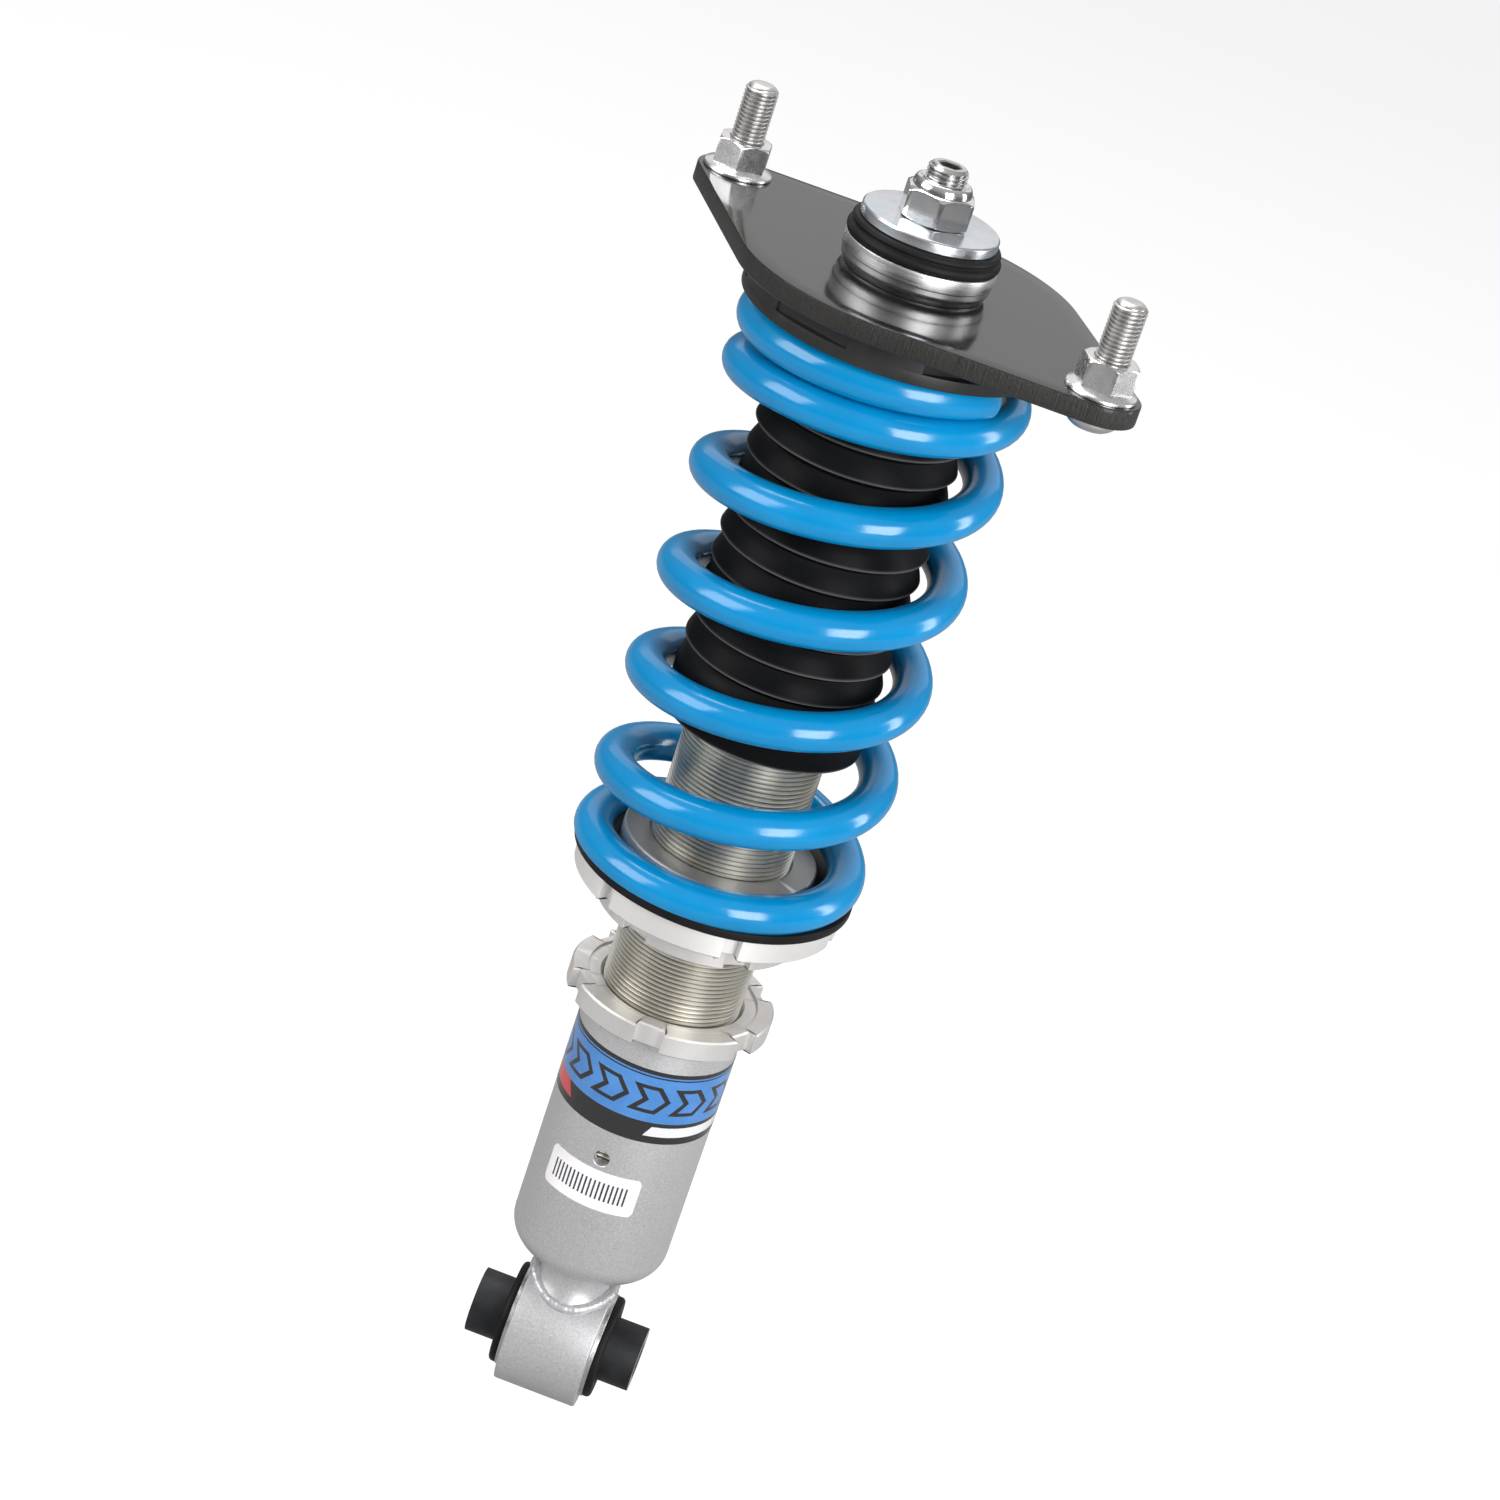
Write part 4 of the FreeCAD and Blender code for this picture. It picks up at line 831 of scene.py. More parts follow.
SPRING = blue_spring()
PLATE = plate_black()
LABEL = label_film()
WHITE = label_white()
SLEEVE = sleeve_black()
SILVER = silver_paint()
SATIN = satin_aluminium()
# painted shade: a darker copy of the satin aluminium, standing for the coil's shadow on the perch hub
SHADED_SATIN = satin_aluminium(0.42)
THREAD = thread_plating()
SEAT = plain_black("seat_black", (0.014, 0.014, 0.0145), 0.4, 0.3, 0.0008, 0.00004)
RUBBER = plain_black("mount_rubber", (0.007, 0.007, 0.0075), 0.5, 0.14, 0.0007, 0.00005)
# the boot's last value paints a highlight on its pleat lips
BOOT = plain_black("boot_black", (0.003, 0.0032, 0.0038), 0.45, 0.05, 0.0010, 0.00004, 0.4)
PLASTIC = plain_black("slip_plastic", (0.006, 0.0055, 0.006), 0.45, 0.15, 0.0012, 0.00003)
FOAM = plain_black("bump_foam", (0.05, 0.045, 0.04), 0.8, 0.2, 0.0012, 0.00012)
STUD = plated_steel("stud_steel", rgb(0.54, 0.53, 0.52), rgb(0.65, 0.635, 0.625), 0.38, 0.3, 0.002)
NUT = plated_steel("zinc_steel", rgb(0.74, 0.735, 0.735), rgb(0.86, 0.85, 0.85), 0.26, 0.5, 0.002)
ZINC = plated_steel("zinc_steel", rgb(0.62, 0.72, 0.77), rgb(0.78, 0.75, 0.78), 0.24, 0.5, 0.002)
BRIGHT = plated_steel("zinc_steel", rgb(0.72, 0.75, 0.77), rgb(0.84, 0.83, 0.84), 0.13, 0.4, 0.002)
HEAD = plated_steel("chromed_rod", rgb(0.60, 0.60, 0.60), rgb(0.72, 0.71, 0.70), 0.22, 0.2, 0.002)
DARK = plated_steel("dark_steel", rgb(0.26, 0.26, 0.27), rgb(0.34, 0.34, 0.35), 0.35)
CUP = turned_metal("cup_steel", rgb(0.52, 0.52, 0.53), rgb(0.72, 0.72, 0.73), 0.32, 0.0003, 0.00003, 0.7)
CHROME = turned_metal("chromed_rod", rgb(0.72, 0.73, 0.74), rgb(0.78, 0.79, 0.80), 0.12, 0.0002, 0.00001)
MACHINED = turned_metal("machined_aluminium", rgb(0.66, 0.66, 0.66), rgb(0.76, 0.76, 0.76), 0.3,
                        0.0004, 0.00003)
THREADS = thread_tree()


# Top mount ------------------------------------------------------------------------------------
def stud_places():
    """The two stud axes."""
    return circle(STUD_OFFSET, 0.0, (STUD_AZIMUTH, STUD_AZIMUTH + math.pi))


def mount_plate():
    """Plate with a round middle and two small bosses, its edges slightly broken."""
    big, small, offset = 51.5 * MM, 12.0 * MM, STUD_OFFSET
    lean = math.acos((big - small) / offset)
    outline = []
    stretches = ((offset, small, -lean, lean, 14), (0.0, big, lean, math.pi - lean, 40),
                 (-offset, small, math.pi - lean, math.pi + lean, 14),
                 (0.0, big, math.pi + lean, TAU - lean, 40))
    spin = Matrix.Rotation(STUD_AZIMUTH, 2)
    for centre, radius, start, end, steps in stretches:
        for step in range(steps + 1):
            angle = start + (end - start) * step / steps
            spot = Vector((centre + radius * math.cos(angle), radius * math.sin(angle)))
            outline.append(spin @ spot)
    bore, web = 10.5 * MM, 6 * MM
    rim = eased([(web, PLATE_TOP, 0), (web, PLATE_BOTTOM, 0), (0, PLATE_BOTTOM, 0.5 * MM),
                 (0, PLATE_TOP, 0.45 * MM)])
    solid = bmesh.new()
    rimmed(solid, outline, rim[1:] + rim[:1], [(bore, PLATE_TOP), (bore, PLATE_BOTTOM)])
    piece("mount_plate_coated", solid, PLATE, "top_mount", "mount_plate")


def stud_set():
    """Two threaded studs with round heads under the plate."""
    solid = bmesh.new()
    bottom = PLATE_TOP + 9.0 * MM
    top = high("mount_studs") - 0.6 * MM
    thread = grown("stud_thread", THREADS, {
        "Radius": 5.0 * MM, "Depth": 0.72 * MM, "Pitch": 1.25 * MM, "Bottom": bottom, "Top": top,
        "Chamfer": 1.1 * MM, "Steps": 48, "Material": STUD})
    head = low("mount_studs")
    for place in stud_places():
        shift = Matrix.Translation(place)
        before = len(solid.verts)
        solid.from_mesh(thread)
        solid.verts.ensure_lookup_table()
        bmesh.ops.transform(solid, matrix=shift, verts=solid.verts[before:])
        tip = eased([(0, top - 1 * MM, 0), (3.9 * MM, top - 1 * MM, 0), (3.9 * MM, top, 0),
                     (3.0 * MM, top + 0.6 * MM, 0.6 * MM), (0, top + 0.6 * MM, 0)])
        lathe(solid, tip, shift, 48)
        shank = eased([(0, PLATE_BOTTOM, 0), (4.4 * MM, PLATE_BOTTOM, 0), (4.4 * MM, bottom + 0.2 * MM, 0),
                       (0, bottom + 0.2 * MM, 0)])
        lathe(solid, shank, shift, 48)
        cap = eased([(0, head, 0), (5.2 * MM, head, 2.0 * MM), (7.7 * MM, head + 2.2 * MM, 1.2 * MM),
                     (7.7 * MM, PLATE_BOTTOM, 0.2 * MM), (0, PLATE_BOTTOM, 0)])
        lathe(solid, cap, shift, 64)
    piece("threaded_studs", solid, STUD, "top_mount", "mount_studs")


def flange_nut(solid, place, turn):
    """Hexagon nut on a coned flange."""
    base = PLATE_TOP
    flats = 15.0 * MM
    corner = hexagon_reach(flats)
    rise = high("flange_nuts") - base
    hexagon = [(4.6 * MM, base + 0.5 * MM), (corner, base + 0.8 * MM)]
    for step in range(8):
        share = step / 7
        radius = corner * 1.01 - share * (corner - flats / 2 * 0.93)
        hexagon.append((radius, base + rise - 1.0 * MM * (1 - share) ** 0.8 * (1 - share)))
    for step in range(5):
        share = step / 4
        fall = share * share * 1.0 * MM
        hexagon.insert(2 + step, (corner * (0.985 + 0.015 * min(1, share * 2)), base + 2.0 * MM + fall))
    hexagon += [(5.3 * MM, base + rise), (4.5 * MM, base + rise - 0.8 * MM)]
    hexagonal(solid, [Vector(p) for p in hexagon], flats, turn, Matrix.Translation(place))
    flange = eased([(4.6 * MM, base, 0), (10.5 * MM, base, 0.3 * MM), (10.5 * MM, base + 1.1 * MM, 0.5 * MM),
                    (7.6 * MM, base + 2.3 * MM, 0.6 * MM), (4.6 * MM, base + 2.3 * MM, 0)])
    lathe(solid, flange, Matrix.Translation(place), 96)


def flange_nuts():
    """The nut on each stud, turned as it was tightened."""
    solid = bmesh.new()
    near, far = stud_places()
    flange_nut(solid, near, math.radians(-69))
    flange_nut(solid, far, math.radians(-86))
    piece("flanged_nuts", solid, NUT, "top_mount", "flange_nuts")


def spring_seat():
    """Black seat ring with long slots in its rim."""
    outer, inner = reach("upper_spring_seat"), 31.5 * MM
    bottom, top = low("upper_spring_seat"), high("upper_spring_seat")
    slot_low, slot_high = bottom + 3.7 * MM, bottom + 6.9 * MM
    solid = bmesh.new()
    lathe(solid, eased([(inner, bottom, 0.3 * MM), (outer, bottom, 0.5 * MM), (outer, slot_low, 0.15 * MM),
                        (inner, slot_low, 0)]))
    lathe(solid, eased([(inner, slot_high, 0), (outer, slot_high, 0.15 * MM), (outer, top, 0.3 * MM),
                        (inner, top, 0)]))
    outline = notched(outer - 0.02 * MM, 43.5 * MM, 12.6 * MM, math.radians(-56), 0.8 * MM)
    rimmed(solid, outline, [(0, slot_low - 0.2 * MM), (0, slot_high + 0.2 * MM)],
           [(inner, slot_high + 0.2 * MM), (inner, slot_low - 0.2 * MM)])
    piece("slotted_seat", solid, SEAT, "top_mount", "upper_spring_seat")


def bush_cup():
    """Turned cup round the upper rubber, with a step line and a rounded foot."""
    base = PLATE_TOP / MM
    outline = millimetres([
        (10.5, base, 0), (20.6, base, 0.3), (20.9, base + 0.9, 0.5), (22.1, base + 2.2, 1.0),
        (22.1, base + 4.5, 0.1), (22.5, base + 4.75, 0.1), (22.5, base + 9.0, 0.5),
        (21.1, base + 9.0, 0.3), (21.1, base + 1.5, 0), (10.5, base + 1.5, 0)])
    turned("turned_cup", outline, CUP, "top_mount", "bush_cup", around=160)


def upper_rubber():
    """Upper rubber with two lobes and a groove between them."""
    base = PLATE_TOP / MM
    outline = millimetres([
        (9.0, base + 1.6, 0), (21.0, base + 1.6, 0), (21.0, base + 8.4, 0), (21.9, base + 9.1, 0.4),
        (22.8, base + 9.7, 0.9), (22.8, base + 11.4, 1.0), (21.3, base + 12.3, 0.5),
        (22.2, base + 13.0, 0.8), (21.6, base + 14.3, 0.6), (20.4, base + 14.5, 0), (9.0, base + 14.5, 0)])
    turned("lobed_rubber", outline, RUBBER, "top_mount", "upper_mount_bush", around=160, sharp=50)


def top_washer():
    """Thick washer under the rod nut, its edges chamfered."""
    outer, top, bottom = reach("top_washer"), WASHER_TOP, low("top_washer")
    outline = eased([
        (6.1 * MM, bottom, 0), (outer - 0.3 * MM, bottom, 0.1 * MM), (outer, bottom + 0.4 * MM, 0.1 * MM),
        (outer, top - 0.5 * MM, 0.15 * MM), (outer - 0.5 * MM, top, 0.15 * MM), (6.1 * MM, top, 0)])
    turned("thick_washer", outline, ZINC, "top_mount", "top_washer", around=160, sharp=20)


def rod_lock_nut():
    """Locking nut: chamfered hexagon, round shoulder and the rolled lip over its insert."""
    base = WASHER_TOP
    top = high("rod_lock_nut")
    flats = 19.0 * MM
    corner = hexagon_reach(flats)
    hex_top = base + 9.3 * MM
    outline = [(6.1 * MM, base)]
    for step in range(6):
        share = step / 5
        outline.append((flats / 2 * 0.95 + share * (corner - flats / 2 * 0.95) * 1.02,
                        base + 0.9 * MM * share ** 1.6))
    for step in range(9):
        share = step / 8
        outline.append((corner * 1.01 - share * (corner - flats / 2 * 0.90),
                        hex_top - 1.5 * MM * (1 - share) ** 1.6))
    shoulder = eased([
        (8.75 * MM, hex_top, 0.2 * MM), (8.6 * MM, hex_top + 1.1 * MM, 0.3 * MM),
        (8.1 * MM, top - 0.45 * MM, 0.5 * MM), (7.3 * MM, top, 0.3 * MM),
        (6.6 * MM, top - 0.5 * MM, 0.2 * MM), (6.1 * MM, top - 0.9 * MM, 0)])
    outline += [(point.x, point.y) for point in shoulder]
    solid = bmesh.new()
    hexagonal(solid, [Vector(p) for p in outline], flats, math.radians(-78), around=144)
    piece("locking_nut", solid, BRIGHT, "top_mount", "rod_lock_nut", sharp=24)


def piston_rod():
    """Rod with a threaded head, a chamfered tip and a hexagon key socket."""
    tip = high("piston_rod")
    solid = bmesh.new()
    thread = grown("rod_thread", THREADS, {
        "Radius": 6.0 * MM, "Depth": 0.75 * MM, "Pitch": 1.25 * MM, "Bottom": 352.0 * MM,
        "Top": tip, "Chamfer": 1.2 * MM, "Bore": 3.9 * MM, "Steps": 64, "Material": CHROME})
    solid.from_mesh(thread)
    angles = [TAU * k / 48 for k in range(48)]

    def key(flats, height):
        """Hexagon of a key's size."""
        return [circle(hexagon_reach(flats, angle), height, [angle])[0] for angle in angles]

    floor = tip - 6.0 * MM
    loops = [circle(3.9 * MM, 360 * MM, angles), circle(3.9 * MM, tip, angles),
             key(6.6 * MM, tip), key(6.0 * MM, tip - 0.4 * MM), key(6.0 * MM, floor),
             circle(0, floor - 1.2 * MM, angles), circle(0, 360 * MM, angles)]
    loft(solid, loops, Matrix())
    piece("threaded_head", solid, HEAD, "top_mount", sharp=24)
    shaft = eased([(0, low("piston_rod"), 0), (5 * MM, low("piston_rod"), 0.3 * MM), (5 * MM, 222 * MM, 0),
                   (7 * MM, 222 * MM, 0), (7 * MM, 351 * MM, 0.3 * MM), (6 * MM, 351 * MM, 0),
                   (6 * MM, 353 * MM, 0), (0, 353 * MM, 0)])
    turned("chromed_shaft", shaft, CHROME, "top_mount", "piston_rod", around=64)


# Spring and boot ------------------------------------------------------------------------------
def coil_spring():
    """Blue spring: close ground end coils and open coils between."""
    mesh = grown("coil_spring_wire", coil_tree(), {
        "Mean Radius": 39.0 * MM, "Wire Radius": 6.0 * MM, "Start Angle": math.radians(90),
        "Start": SPRING_BOTTOM - 2.7 * MM, "Low Turns": 0.78, "Low Pitch": 12.0 * MM,
        "Open Turns": 4.614, "Open Pitch": 33.3 * MM, "High Turns": 1.256, "High Pitch": 12.1 * MM,
        "Blend": 0.15, "Bottom": SPRING_BOTTOM, "Top": SPRING_TOP, "Steps": 72, "Wire Steps": 36,
        "Material": SPRING})
    spring = piece("blue_coil", mesh, SPRING, "top_mount", "coil_spring", sharp=40)
    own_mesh(spring)


def dust_boot():
    """Pleated boot with a plain cuff."""
    bottom, top = low("dust_boot"), high("dust_boot")
    pitch = 8.88 * MM
    row = pitch / 24
    mesh = grown("boot_skin", bellows_tree(), {
        "Crest": 30.7 * MM, "Valley": 25.6 * MM, "Collar": 28.0 * MM, "Cuff Bottom": bottom,
        "Cuff Top": bottom + 11.8 * MM, "First Lip": bottom + 60 * row, "Pitch": pitch,
        "Pleats": 12, "Top": top, "Underside": 0.16, "Steps": AROUND,
        "Rows": round((top - bottom) / row) + 1, "Material": BOOT})
    solid = bmesh.new()
    solid.from_mesh(mesh)
    angles = [TAU * k / AROUND for k in range(AROUND)]
    lining = ((30.7, bottom), (29.2, bottom), (29.2, bottom + 11 * MM), (24.8, bottom + 17 * MM),
              (24.8, top - 12 * MM), (26.6, top), (28.0, top))
    loft(solid, [circle(radius * MM, height, angles) for radius, height in lining], Matrix(), False)
    boot = piece("pleated_boot", solid, BOOT, "top_mount", "dust_boot", sharp=50)
    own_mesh(boot)


# Damper and its rings -------------------------------------------------------------------------
def damper_body():
    """Threaded tube of the damper."""
    mesh = grown("damper_thread", THREADS, {
        "Radius": 22.0 * MM, "Depth": 0.86 * MM, "Pitch": 1.5 * MM, "Bottom": low("damper_body"),
        "Top": high("damper_body"), "Chamfer": 1.1 * MM, "Bore": 19.0 * MM, "Steps": 80,
        "Material": THREAD})
    piece("threaded_tube", mesh, THREAD, "damper", "damper_body", sharp=24)


def castellated(name, node, body, first, recess):
    """Adjusting ring with six notches and broken edges."""
    bottom, top = low(node), high(node)
    outer, bore, chamfer = 32.5 * MM, THREAD_BORE, 0.55 * MM
    notch_floor, notch_half = 29.5 * MM, 4.3 * MM
    solid = bmesh.new()
    outline = notched(outer, notch_floor, notch_half, first, 0.35 * MM)
    rim = [(chamfer, bottom), (0, bottom + chamfer), (0, top - chamfer), (chamfer, top)]
    if recess:
        inner = [(27.2 * MM, top), (27.0 * MM, top - 0.2 * MM), (27.0 * MM, top - 0.8 * MM),
                 (23.2 * MM, top - 0.8 * MM), (bore, top - 1.9 * MM), (bore, bottom)]
    else:
        inner = [(bore + chamfer, top), (bore, top - chamfer), (bore, bottom)]
    rimmed(solid, outline, rim, inner)
    piece(name, solid, SATIN, body, node, sharp=24)


def spring_perch():
    """Perch: castellated flange with a short boss below and a hub inside the spring."""
    bottom, top = low("spring_perch"), high("spring_perch")
    flange_low, flange_high = bottom + 1.2 * MM, low("spring_isolator")
    bore = THREAD_BORE
    solid = bmesh.new()
    outline = notched(41.7 * MM, 38.2 * MM, 2.6 * MM, math.radians(-68), 0.35 * MM, 16)
    rimmed(solid, outline, [
        (1.6 * MM, flange_low), (0.5 * MM, flange_low + 0.35 * MM), (0, flange_low + 0.9 * MM),
        (0, flange_high - 0.5 * MM), (0.5 * MM, flange_high)],
        [(bore, flange_high), (bore, flange_low)])
    boss_top = flange_low + 0.3 * MM
    lathe(solid, eased([(bore, bottom, 0), (30.0 * MM, bottom, 0.4 * MM),
                        (31.2 * MM, boss_top, 0.3 * MM), (bore, boss_top, 0)]))
    piece("perch_flange", solid, SATIN, "perch", "spring_perch", sharp=24)
    hub = eased([(bore, flange_high - 0.3 * MM, 0), (30.4 * MM, flange_high - 0.3 * MM, 0),
                 (30.4 * MM, top - 0.5 * MM, 0.1 * MM), (29.9 * MM, top, 0.1 * MM),
                 (bore + 0.7 * MM, top, 0.2 * MM), (bore, top - 0.8 * MM, 0)])
    # the hub wears the darker copy, painted shade from the coil above it
    turned("perch_hub", hub, SHADED_SATIN, "perch", sharp=24)


def spring_isolator():
    """Black ring under the spring with rounded edges."""
    bottom, top = low("spring_isolator"), high("spring_isolator")
    inner, outer = 30.6 * MM, 44.0 * MM
    outline = eased([(inner, bottom, 0), (outer, bottom, 0.5 * MM), (outer, top, 0.6 * MM),
                     (inner, top, 0.2 * MM)])
    turned("isolator_ring", outline, PLASTIC, "spring_end", "spring_isolator", around=160)


# Lower bracket --------------------------------------------------------------------------------
def lower_bracket():
    """Silver cup, rounded below, with a drilled sight hole."""
    outer, bore = reach("lower_bracket"), THREAD_BORE
    floor = BRACKET_BOTTOM + 10 * MM
    corners = [(0, BRACKET_BOTTOM, 0), (10.6 * MM, BRACKET_BOTTOM, 0)]
    bend, steps = 9.0 * MM, 10
    for step in range(steps + 1):
        angle = math.pi / 2 * step / steps
        corners.append((outer - bend + bend * math.sin(angle),
                        BRACKET_BOTTOM + bend - bend * math.cos(angle), 0))
    corners += [(outer, BRACKET_TOP, 0.4 * MM), (bore, BRACKET_TOP, 0.5 * MM), (bore, floor, 0),
                (0, floor, 0)]
    cup = turned("silver_cup", eased(corners), SILVER, "lower_bracket", "lower_bracket", around=192)
    drill = bmesh.new()
    radius, azimuth = 2.6 * MM, math.radians(-95)
    aim = Matrix.Translation((0, 0, 80.4 * MM)) @ Matrix.Rotation(azimuth, 4, "Z") @ Matrix.Rotation(
        math.pi / 2, 4, "Y")
    lathe(drill, [(0, bore - 2 * MM), (radius, bore - 2 * MM), (radius, outer - 0.3 * MM),
                  (radius + 0.45 * MM, outer + 0.15 * MM), (radius + 0.45 * MM, outer + 2 * MM),
                  (0, outer + 2 * MM)], aim, 40)
    tidy(drill)
    cutter_mesh = bpy.data.meshes.new("sight_drill")
    drill.to_mesh(cutter_mesh)
    drill.free()
    cutter = bpy.data.objects.new("sight_drill", cutter_mesh)
    bpy.context.collection.objects.link(cutter)
    cut = cup.modifiers.new("drill", "BOOLEAN")
    cut.object = cutter
    cut.solver = "EXACT"
    drilled = bpy.data.meshes.new_from_object(cup.evaluated_get(bpy.context.evaluated_depsgraph_get()))
    cup.modifiers.clear()
    cup.data = drilled
    bpy.data.objects.remove(cutter)
    crisp(drilled)


def across_eye(name, corners, material_used, body, node, around=160, sharp=SHARP):
    """Finished object turned about the eye bolt from (radius, distance along it, easing)."""
    along_bolt = Matrix.Rotation(math.pi / 2, 4, "Y")
    turned(name, eased(corners), material_used, body, node, place=along_bolt, around=around, sharp=sharp)


def neck_and_welds():
    """Flared neck between the cup and the eye, with a weld bead at each end."""
    outline = millimetres([
        (0, 14, 0), (14.6, 16.4, 0.5), (13.0, 19.5, 2.0), (11.6, 23.0, 2.5), (11.6, 28, 2), (12.6, 32.2, 1),
        (0, 32.2, 0)])
    turned("flared_neck", outline, SILVER, "lower_bracket", "bracket_neck", around=96, sharp=60)
    tree = weld_tree()
    smooth = [("REMESH", {"mode": "VOXEL", "voxel_size": 0.4 * MM}),
              ("SMOOTH", {"factor": 0.6, "iterations": 5})]
    bead = grown("cup_weld", tree, {
        "Ring Radius": 12.2 * MM, "Barrel Radius": 0.0, "Level": BRACKET_BOTTOM - 0.5 * MM, "Drops": 44,
        "Drop Radius": 1.5 * MM, "Seed": 4, "Material": SILVER}, smooth)
    piece("cup_weld_bead", bead, SILVER, "lower_bracket", "neck_weld", sharp=70)
    bead = grown("eye_weld", tree, {
        "Ring Radius": 13.2 * MM, "Barrel Radius": EYE_RADIUS, "Level": 0.0, "Drops": 50,
        "Drop Radius": 1.8 * MM, "Seed": 9, "Material": SILVER}, smooth)
    piece("eye_weld_bead", bead, SILVER, "lower_bracket", sharp=70)


def eye_and_bush():
    """Eye barrel, bush shell, rubber and sleeve."""
    eye, shell = half_width("eye_barrel"), half_width("bush_shell")
    rubber, sleeve = half_width("bush_rubber"), half_width("bush_sleeve")
    shell_outer, shell_inner = 17.2 * MM, 16.0 * MM
    across_eye("painted_eye", [
        (shell_outer, -eye, 0.3 * MM), (EYE_RADIUS, -eye, 0.8 * MM), (EYE_RADIUS, eye, 0.8 * MM),
        (shell_outer, eye, 0.3 * MM)], SILVER, "lower_bracket", "eye_barrel")
    across_eye("bush_outer_ring", [
        (shell_inner, -shell, 0.2 * MM), (shell_outer, -shell, 0.2 * MM),
        (shell_outer, shell, 0.2 * MM), (shell_inner, shell, 0.2 * MM)],
        CUP, "lower_bracket", "bush_shell")
    corners = []
    for side in (-1, 1):
        corners += [
            (10.66 * MM, side * (rubber - 1.6 * MM), 0), (12.2 * MM, side * rubber * 0.995, 0.8 * MM),
            (16.2 * MM, side * rubber, 0.7 * MM), (16.9 * MM, side * (rubber - 1.0 * MM), 0.5 * MM),
            (16.9 * MM, side * (shell + 0.1 * MM), 0.2 * MM), (shell_inner, side * shell, 0)][::-side]
    across_eye("lipped_rubber", corners, RUBBER, "lower_bracket", "bush_rubber", 128, 50)
    across_eye("coated_sleeve", [
        (6.15 * MM, -sleeve, 0.5 * MM), (10.6 * MM, -sleeve, 0.35 * MM), (10.6 * MM, sleeve, 0.35 * MM),
        (6.15 * MM, sleeve, 0.5 * MM)], SLEEVE, "eye_sleeve", "bush_sleeve", 128)


def wrapped_label(name, node, start, sweep, material_used, ease):
    """Thin label wrapped on the bracket, with its own map for the print."""
    bottom, top = low(node), high(node)
    inner, outer = reach("lower_bracket") + 0.01 * MM, reach("band_label")
    columns = max(24, int(sweep / 2))
    solid = bmesh.new()
    layer = solid.loops.layers.uv.new("label")
    width = math.radians(sweep) * outer
    grid = {}
    for side, radius in (("in", inner), ("out", outer)):
        for column in range(columns + 1):
            for row, level in enumerate((bottom, top)):
                share = column / columns
                near_end = min(share, 1 - share) * width
                pull = max(0.0, ease - near_end)
                dip = ease - math.sqrt(max(0.0, ease ** 2 - pull ** 2)) if ease else 0.0
                height = level + (dip if row == 0 else -dip)
                angle = math.radians(start + sweep * share)
                spot = circle(radius, height, [angle])[0]
                grid[side, column, row] = (solid.verts.new(spot), share, (height - bottom) / (top - bottom))

    def face(*keys):
        """Face between places of the grid, with their map."""
        made = solid.faces.new([grid[key][0] for key in keys])
        for loop, key in zip(made.loops, keys):
            loop[layer].uv = grid[key][1:]

    for column in range(columns):
        ahead = column + 1
        face(("out", column, 0), ("out", ahead, 0), ("out", ahead, 1), ("out", column, 1))
        face(("in", column, 1), ("in", ahead, 1), ("in", ahead, 0), ("in", column, 0))
        face(("in", column, 0), ("in", ahead, 0), ("out", ahead, 0), ("out", column, 0))
        face(("out", column, 1), ("out", ahead, 1), ("in", ahead, 1), ("in", column, 1))
    for column in (0, columns):
        face(("in", column, 0), ("out", column, 0), ("out", column, 1), ("in", column, 1))
    piece(name, solid, material_used, "lower_bracket", node)


# Carried-over inner nodes ---------------------------------------------------------------------
def dress_inner_nodes():
    """Materials for the CAD nodes that stay, found by their own slots."""
    finishes = {made.name.partition(".")[0]: made for made in (
        SEAT, RUBBER, BOOT, PLASTIC, FOAM, STUD, ZINC, DARK, CUP, CHROME, MACHINED)}
    slots = {part["node"]: part["material_slot"] for part in frame["record"]["subparts"]}
    for node, obj in frame["nodes"].items():
        for slot in obj.material_slots:
            slot.material = finishes.get(slots[node], slot.material)


# Stage ----------------------------------------------------------------------------------------
def soft_light(name, place, target, size, power):
    """Rectangular soft box turned towards a point."""
    data = bpy.data.lights.new(name, "AREA")
    data.shape = "RECTANGLE"
    data.size, data.size_y = size
    data.energy = power
    obj = bpy.data.objects.new(name, data)
    obj.location = place
    bpy.context.collection.objects.link(obj)
    obj.rotation_euler = (Vector(target) - obj.location).to_track_quat("-Z", "Y").to_euler()


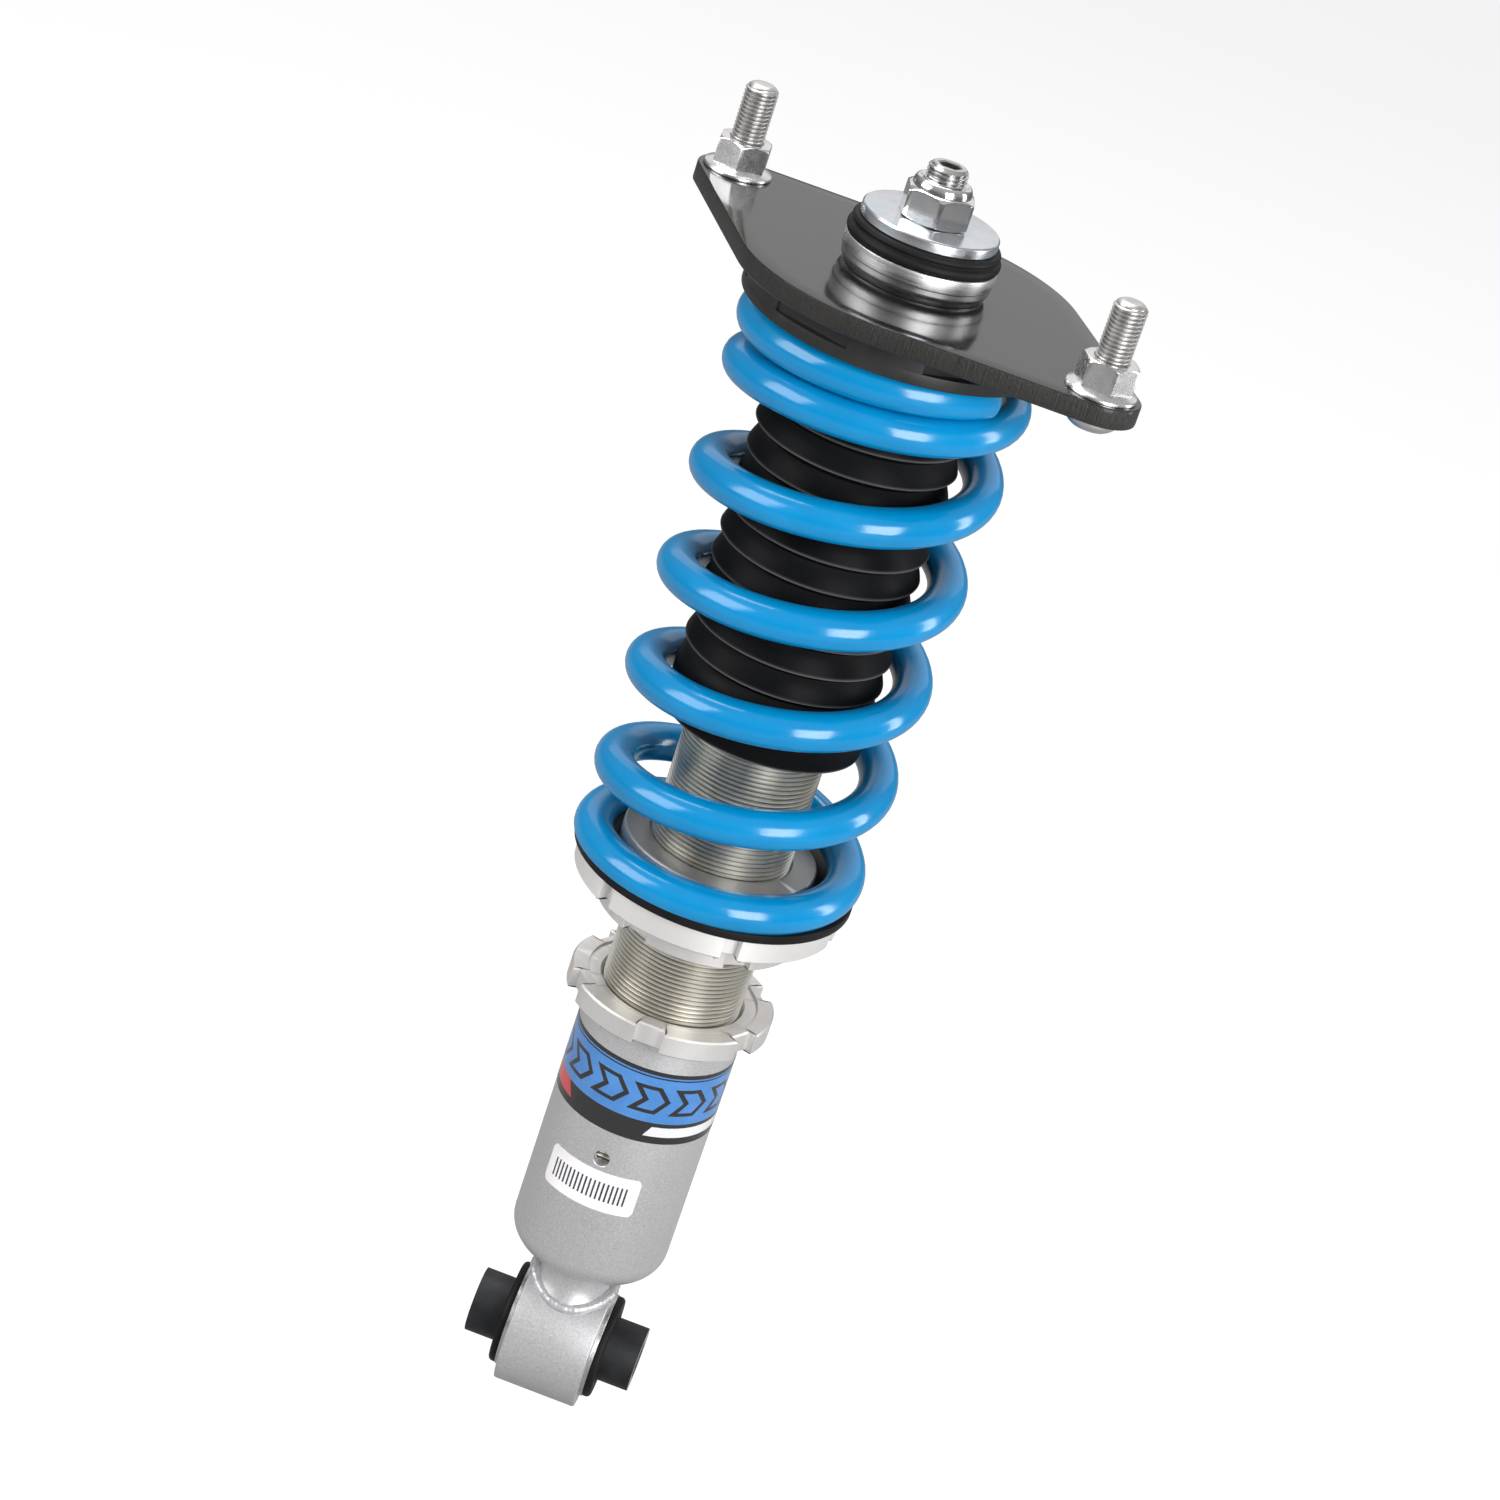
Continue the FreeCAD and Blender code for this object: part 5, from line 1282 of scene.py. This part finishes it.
def studio():
    """Pale floor, soft surroundings and soft boxes."""
    mesh = bpy.data.meshes.new("floor")
    solid = bmesh.new()
    bmesh.ops.create_circle(solid, cap_ends=True, segments=96, radius=6.0,
                            matrix=Matrix.Translation((0, 0, FLOOR)))
    solid.to_mesh(mesh)
    solid.free()
    mesh.materials.append(floor_white())
    floor = bpy.data.objects.new("floor", mesh)
    bpy.context.collection.objects.link(floor)
    world = bpy.data.worlds.new("studio")
    world.use_nodes = True
    bpy.context.scene.world = world
    tree = world.node_tree
    direction = parts(tree, "ShaderNodeTexCoord", "Generated")
    brightness = ramp(tree, direction[2], 0.0, 0.9, 0.14, 0.5)
    background = tree.nodes["Background"]
    seen = add(tree, "ShaderNodeLightPath").outputs["Is Camera Ray"]
    strength = add(tree, "ShaderNodeMix", {0: seen, 2: brightness, 3: 0.9}).outputs[0]
    tree.links.new(strength, background.inputs["Strength"])
    background.inputs["Color"].default_value = rgb(1.0, 0.99, 0.98)
    middle = (0, 0, 0.2)
    soft_light("key", (0.80, -1.02, 0.60), middle, (0.62, 1.0), 21)
    soft_light("overhead", (-0.35, 0.35, 1.5), middle, (1.1, 0.6), 12)
    soft_light("left", (-1.15, -0.62, 0.75), middle, (0.9, 0.9), 14)
    soft_light("rim", (1.25, 0.35, 0.5), middle, (0.25, 0.9), 6)
    soft_light("back", (-0.1, 1.7, 1.1), (0, 0, 0.37), (2.4, 1.0), 4.4)
    bpy.context.scene.view_settings.view_transform = "Standard"


def camera():
    """Camera level with the strut's upper half, looking down on it and rolled to its left."""
    pitch, roll, azimuth = math.radians(24.76), math.radians(18.65), math.radians(4.0)
    distance = 1199.67 * MM
    aim_height = 216.5 * MM
    view = Vector((0, math.cos(pitch), -math.sin(pitch)))
    right = Vector((1, 0, 0))
    up = right.cross(view)
    across = right * math.cos(roll) + up * math.sin(roll)
    above = up * math.cos(roll) - right * math.sin(roll)
    turn = Matrix.Rotation(azimuth, 3, "Z")
    data = bpy.data.cameras.new("camera")
    data.sensor_width = 36.0
    data.lens = 96.09
    data.clip_start = 0.05
    obj = bpy.data.objects.new("camera", data)
    basis = Matrix([turn @ across, turn @ above, turn @ -view]).transposed()
    place = turn @ (view * -distance + Vector((-0.82 * MM, 0, 0))) + Vector((0, 0, aim_height))
    obj.matrix_world = Matrix.Translation(place) @ basis.to_4x4()
    bpy.context.collection.objects.link(obj)
    bpy.context.scene.camera = obj


for build in (studio, camera, dress_inner_nodes, mount_plate, stud_set, flange_nuts, spring_seat,
              bush_cup, upper_rubber, top_washer, rod_lock_nut, piston_rod, coil_spring, dust_boot,
              damper_body):
    build()
castellated("upper_ring", "perch_lock_ring", "perch", math.radians(-56), False)
castellated("lower_ring", "lower_lock_ring", "lower_ring", math.radians(-90), True)
for build in (spring_perch, spring_isolator, lower_bracket, neck_and_welds, eye_and_bush):
    build()
wrapped_label("printed_band", "band_label", 124.0, 300.0, LABEL, 0.0)
wrapped_label("small_label", "plate_label", -134.5, 73.0, WHITE, 1.5 * MM)
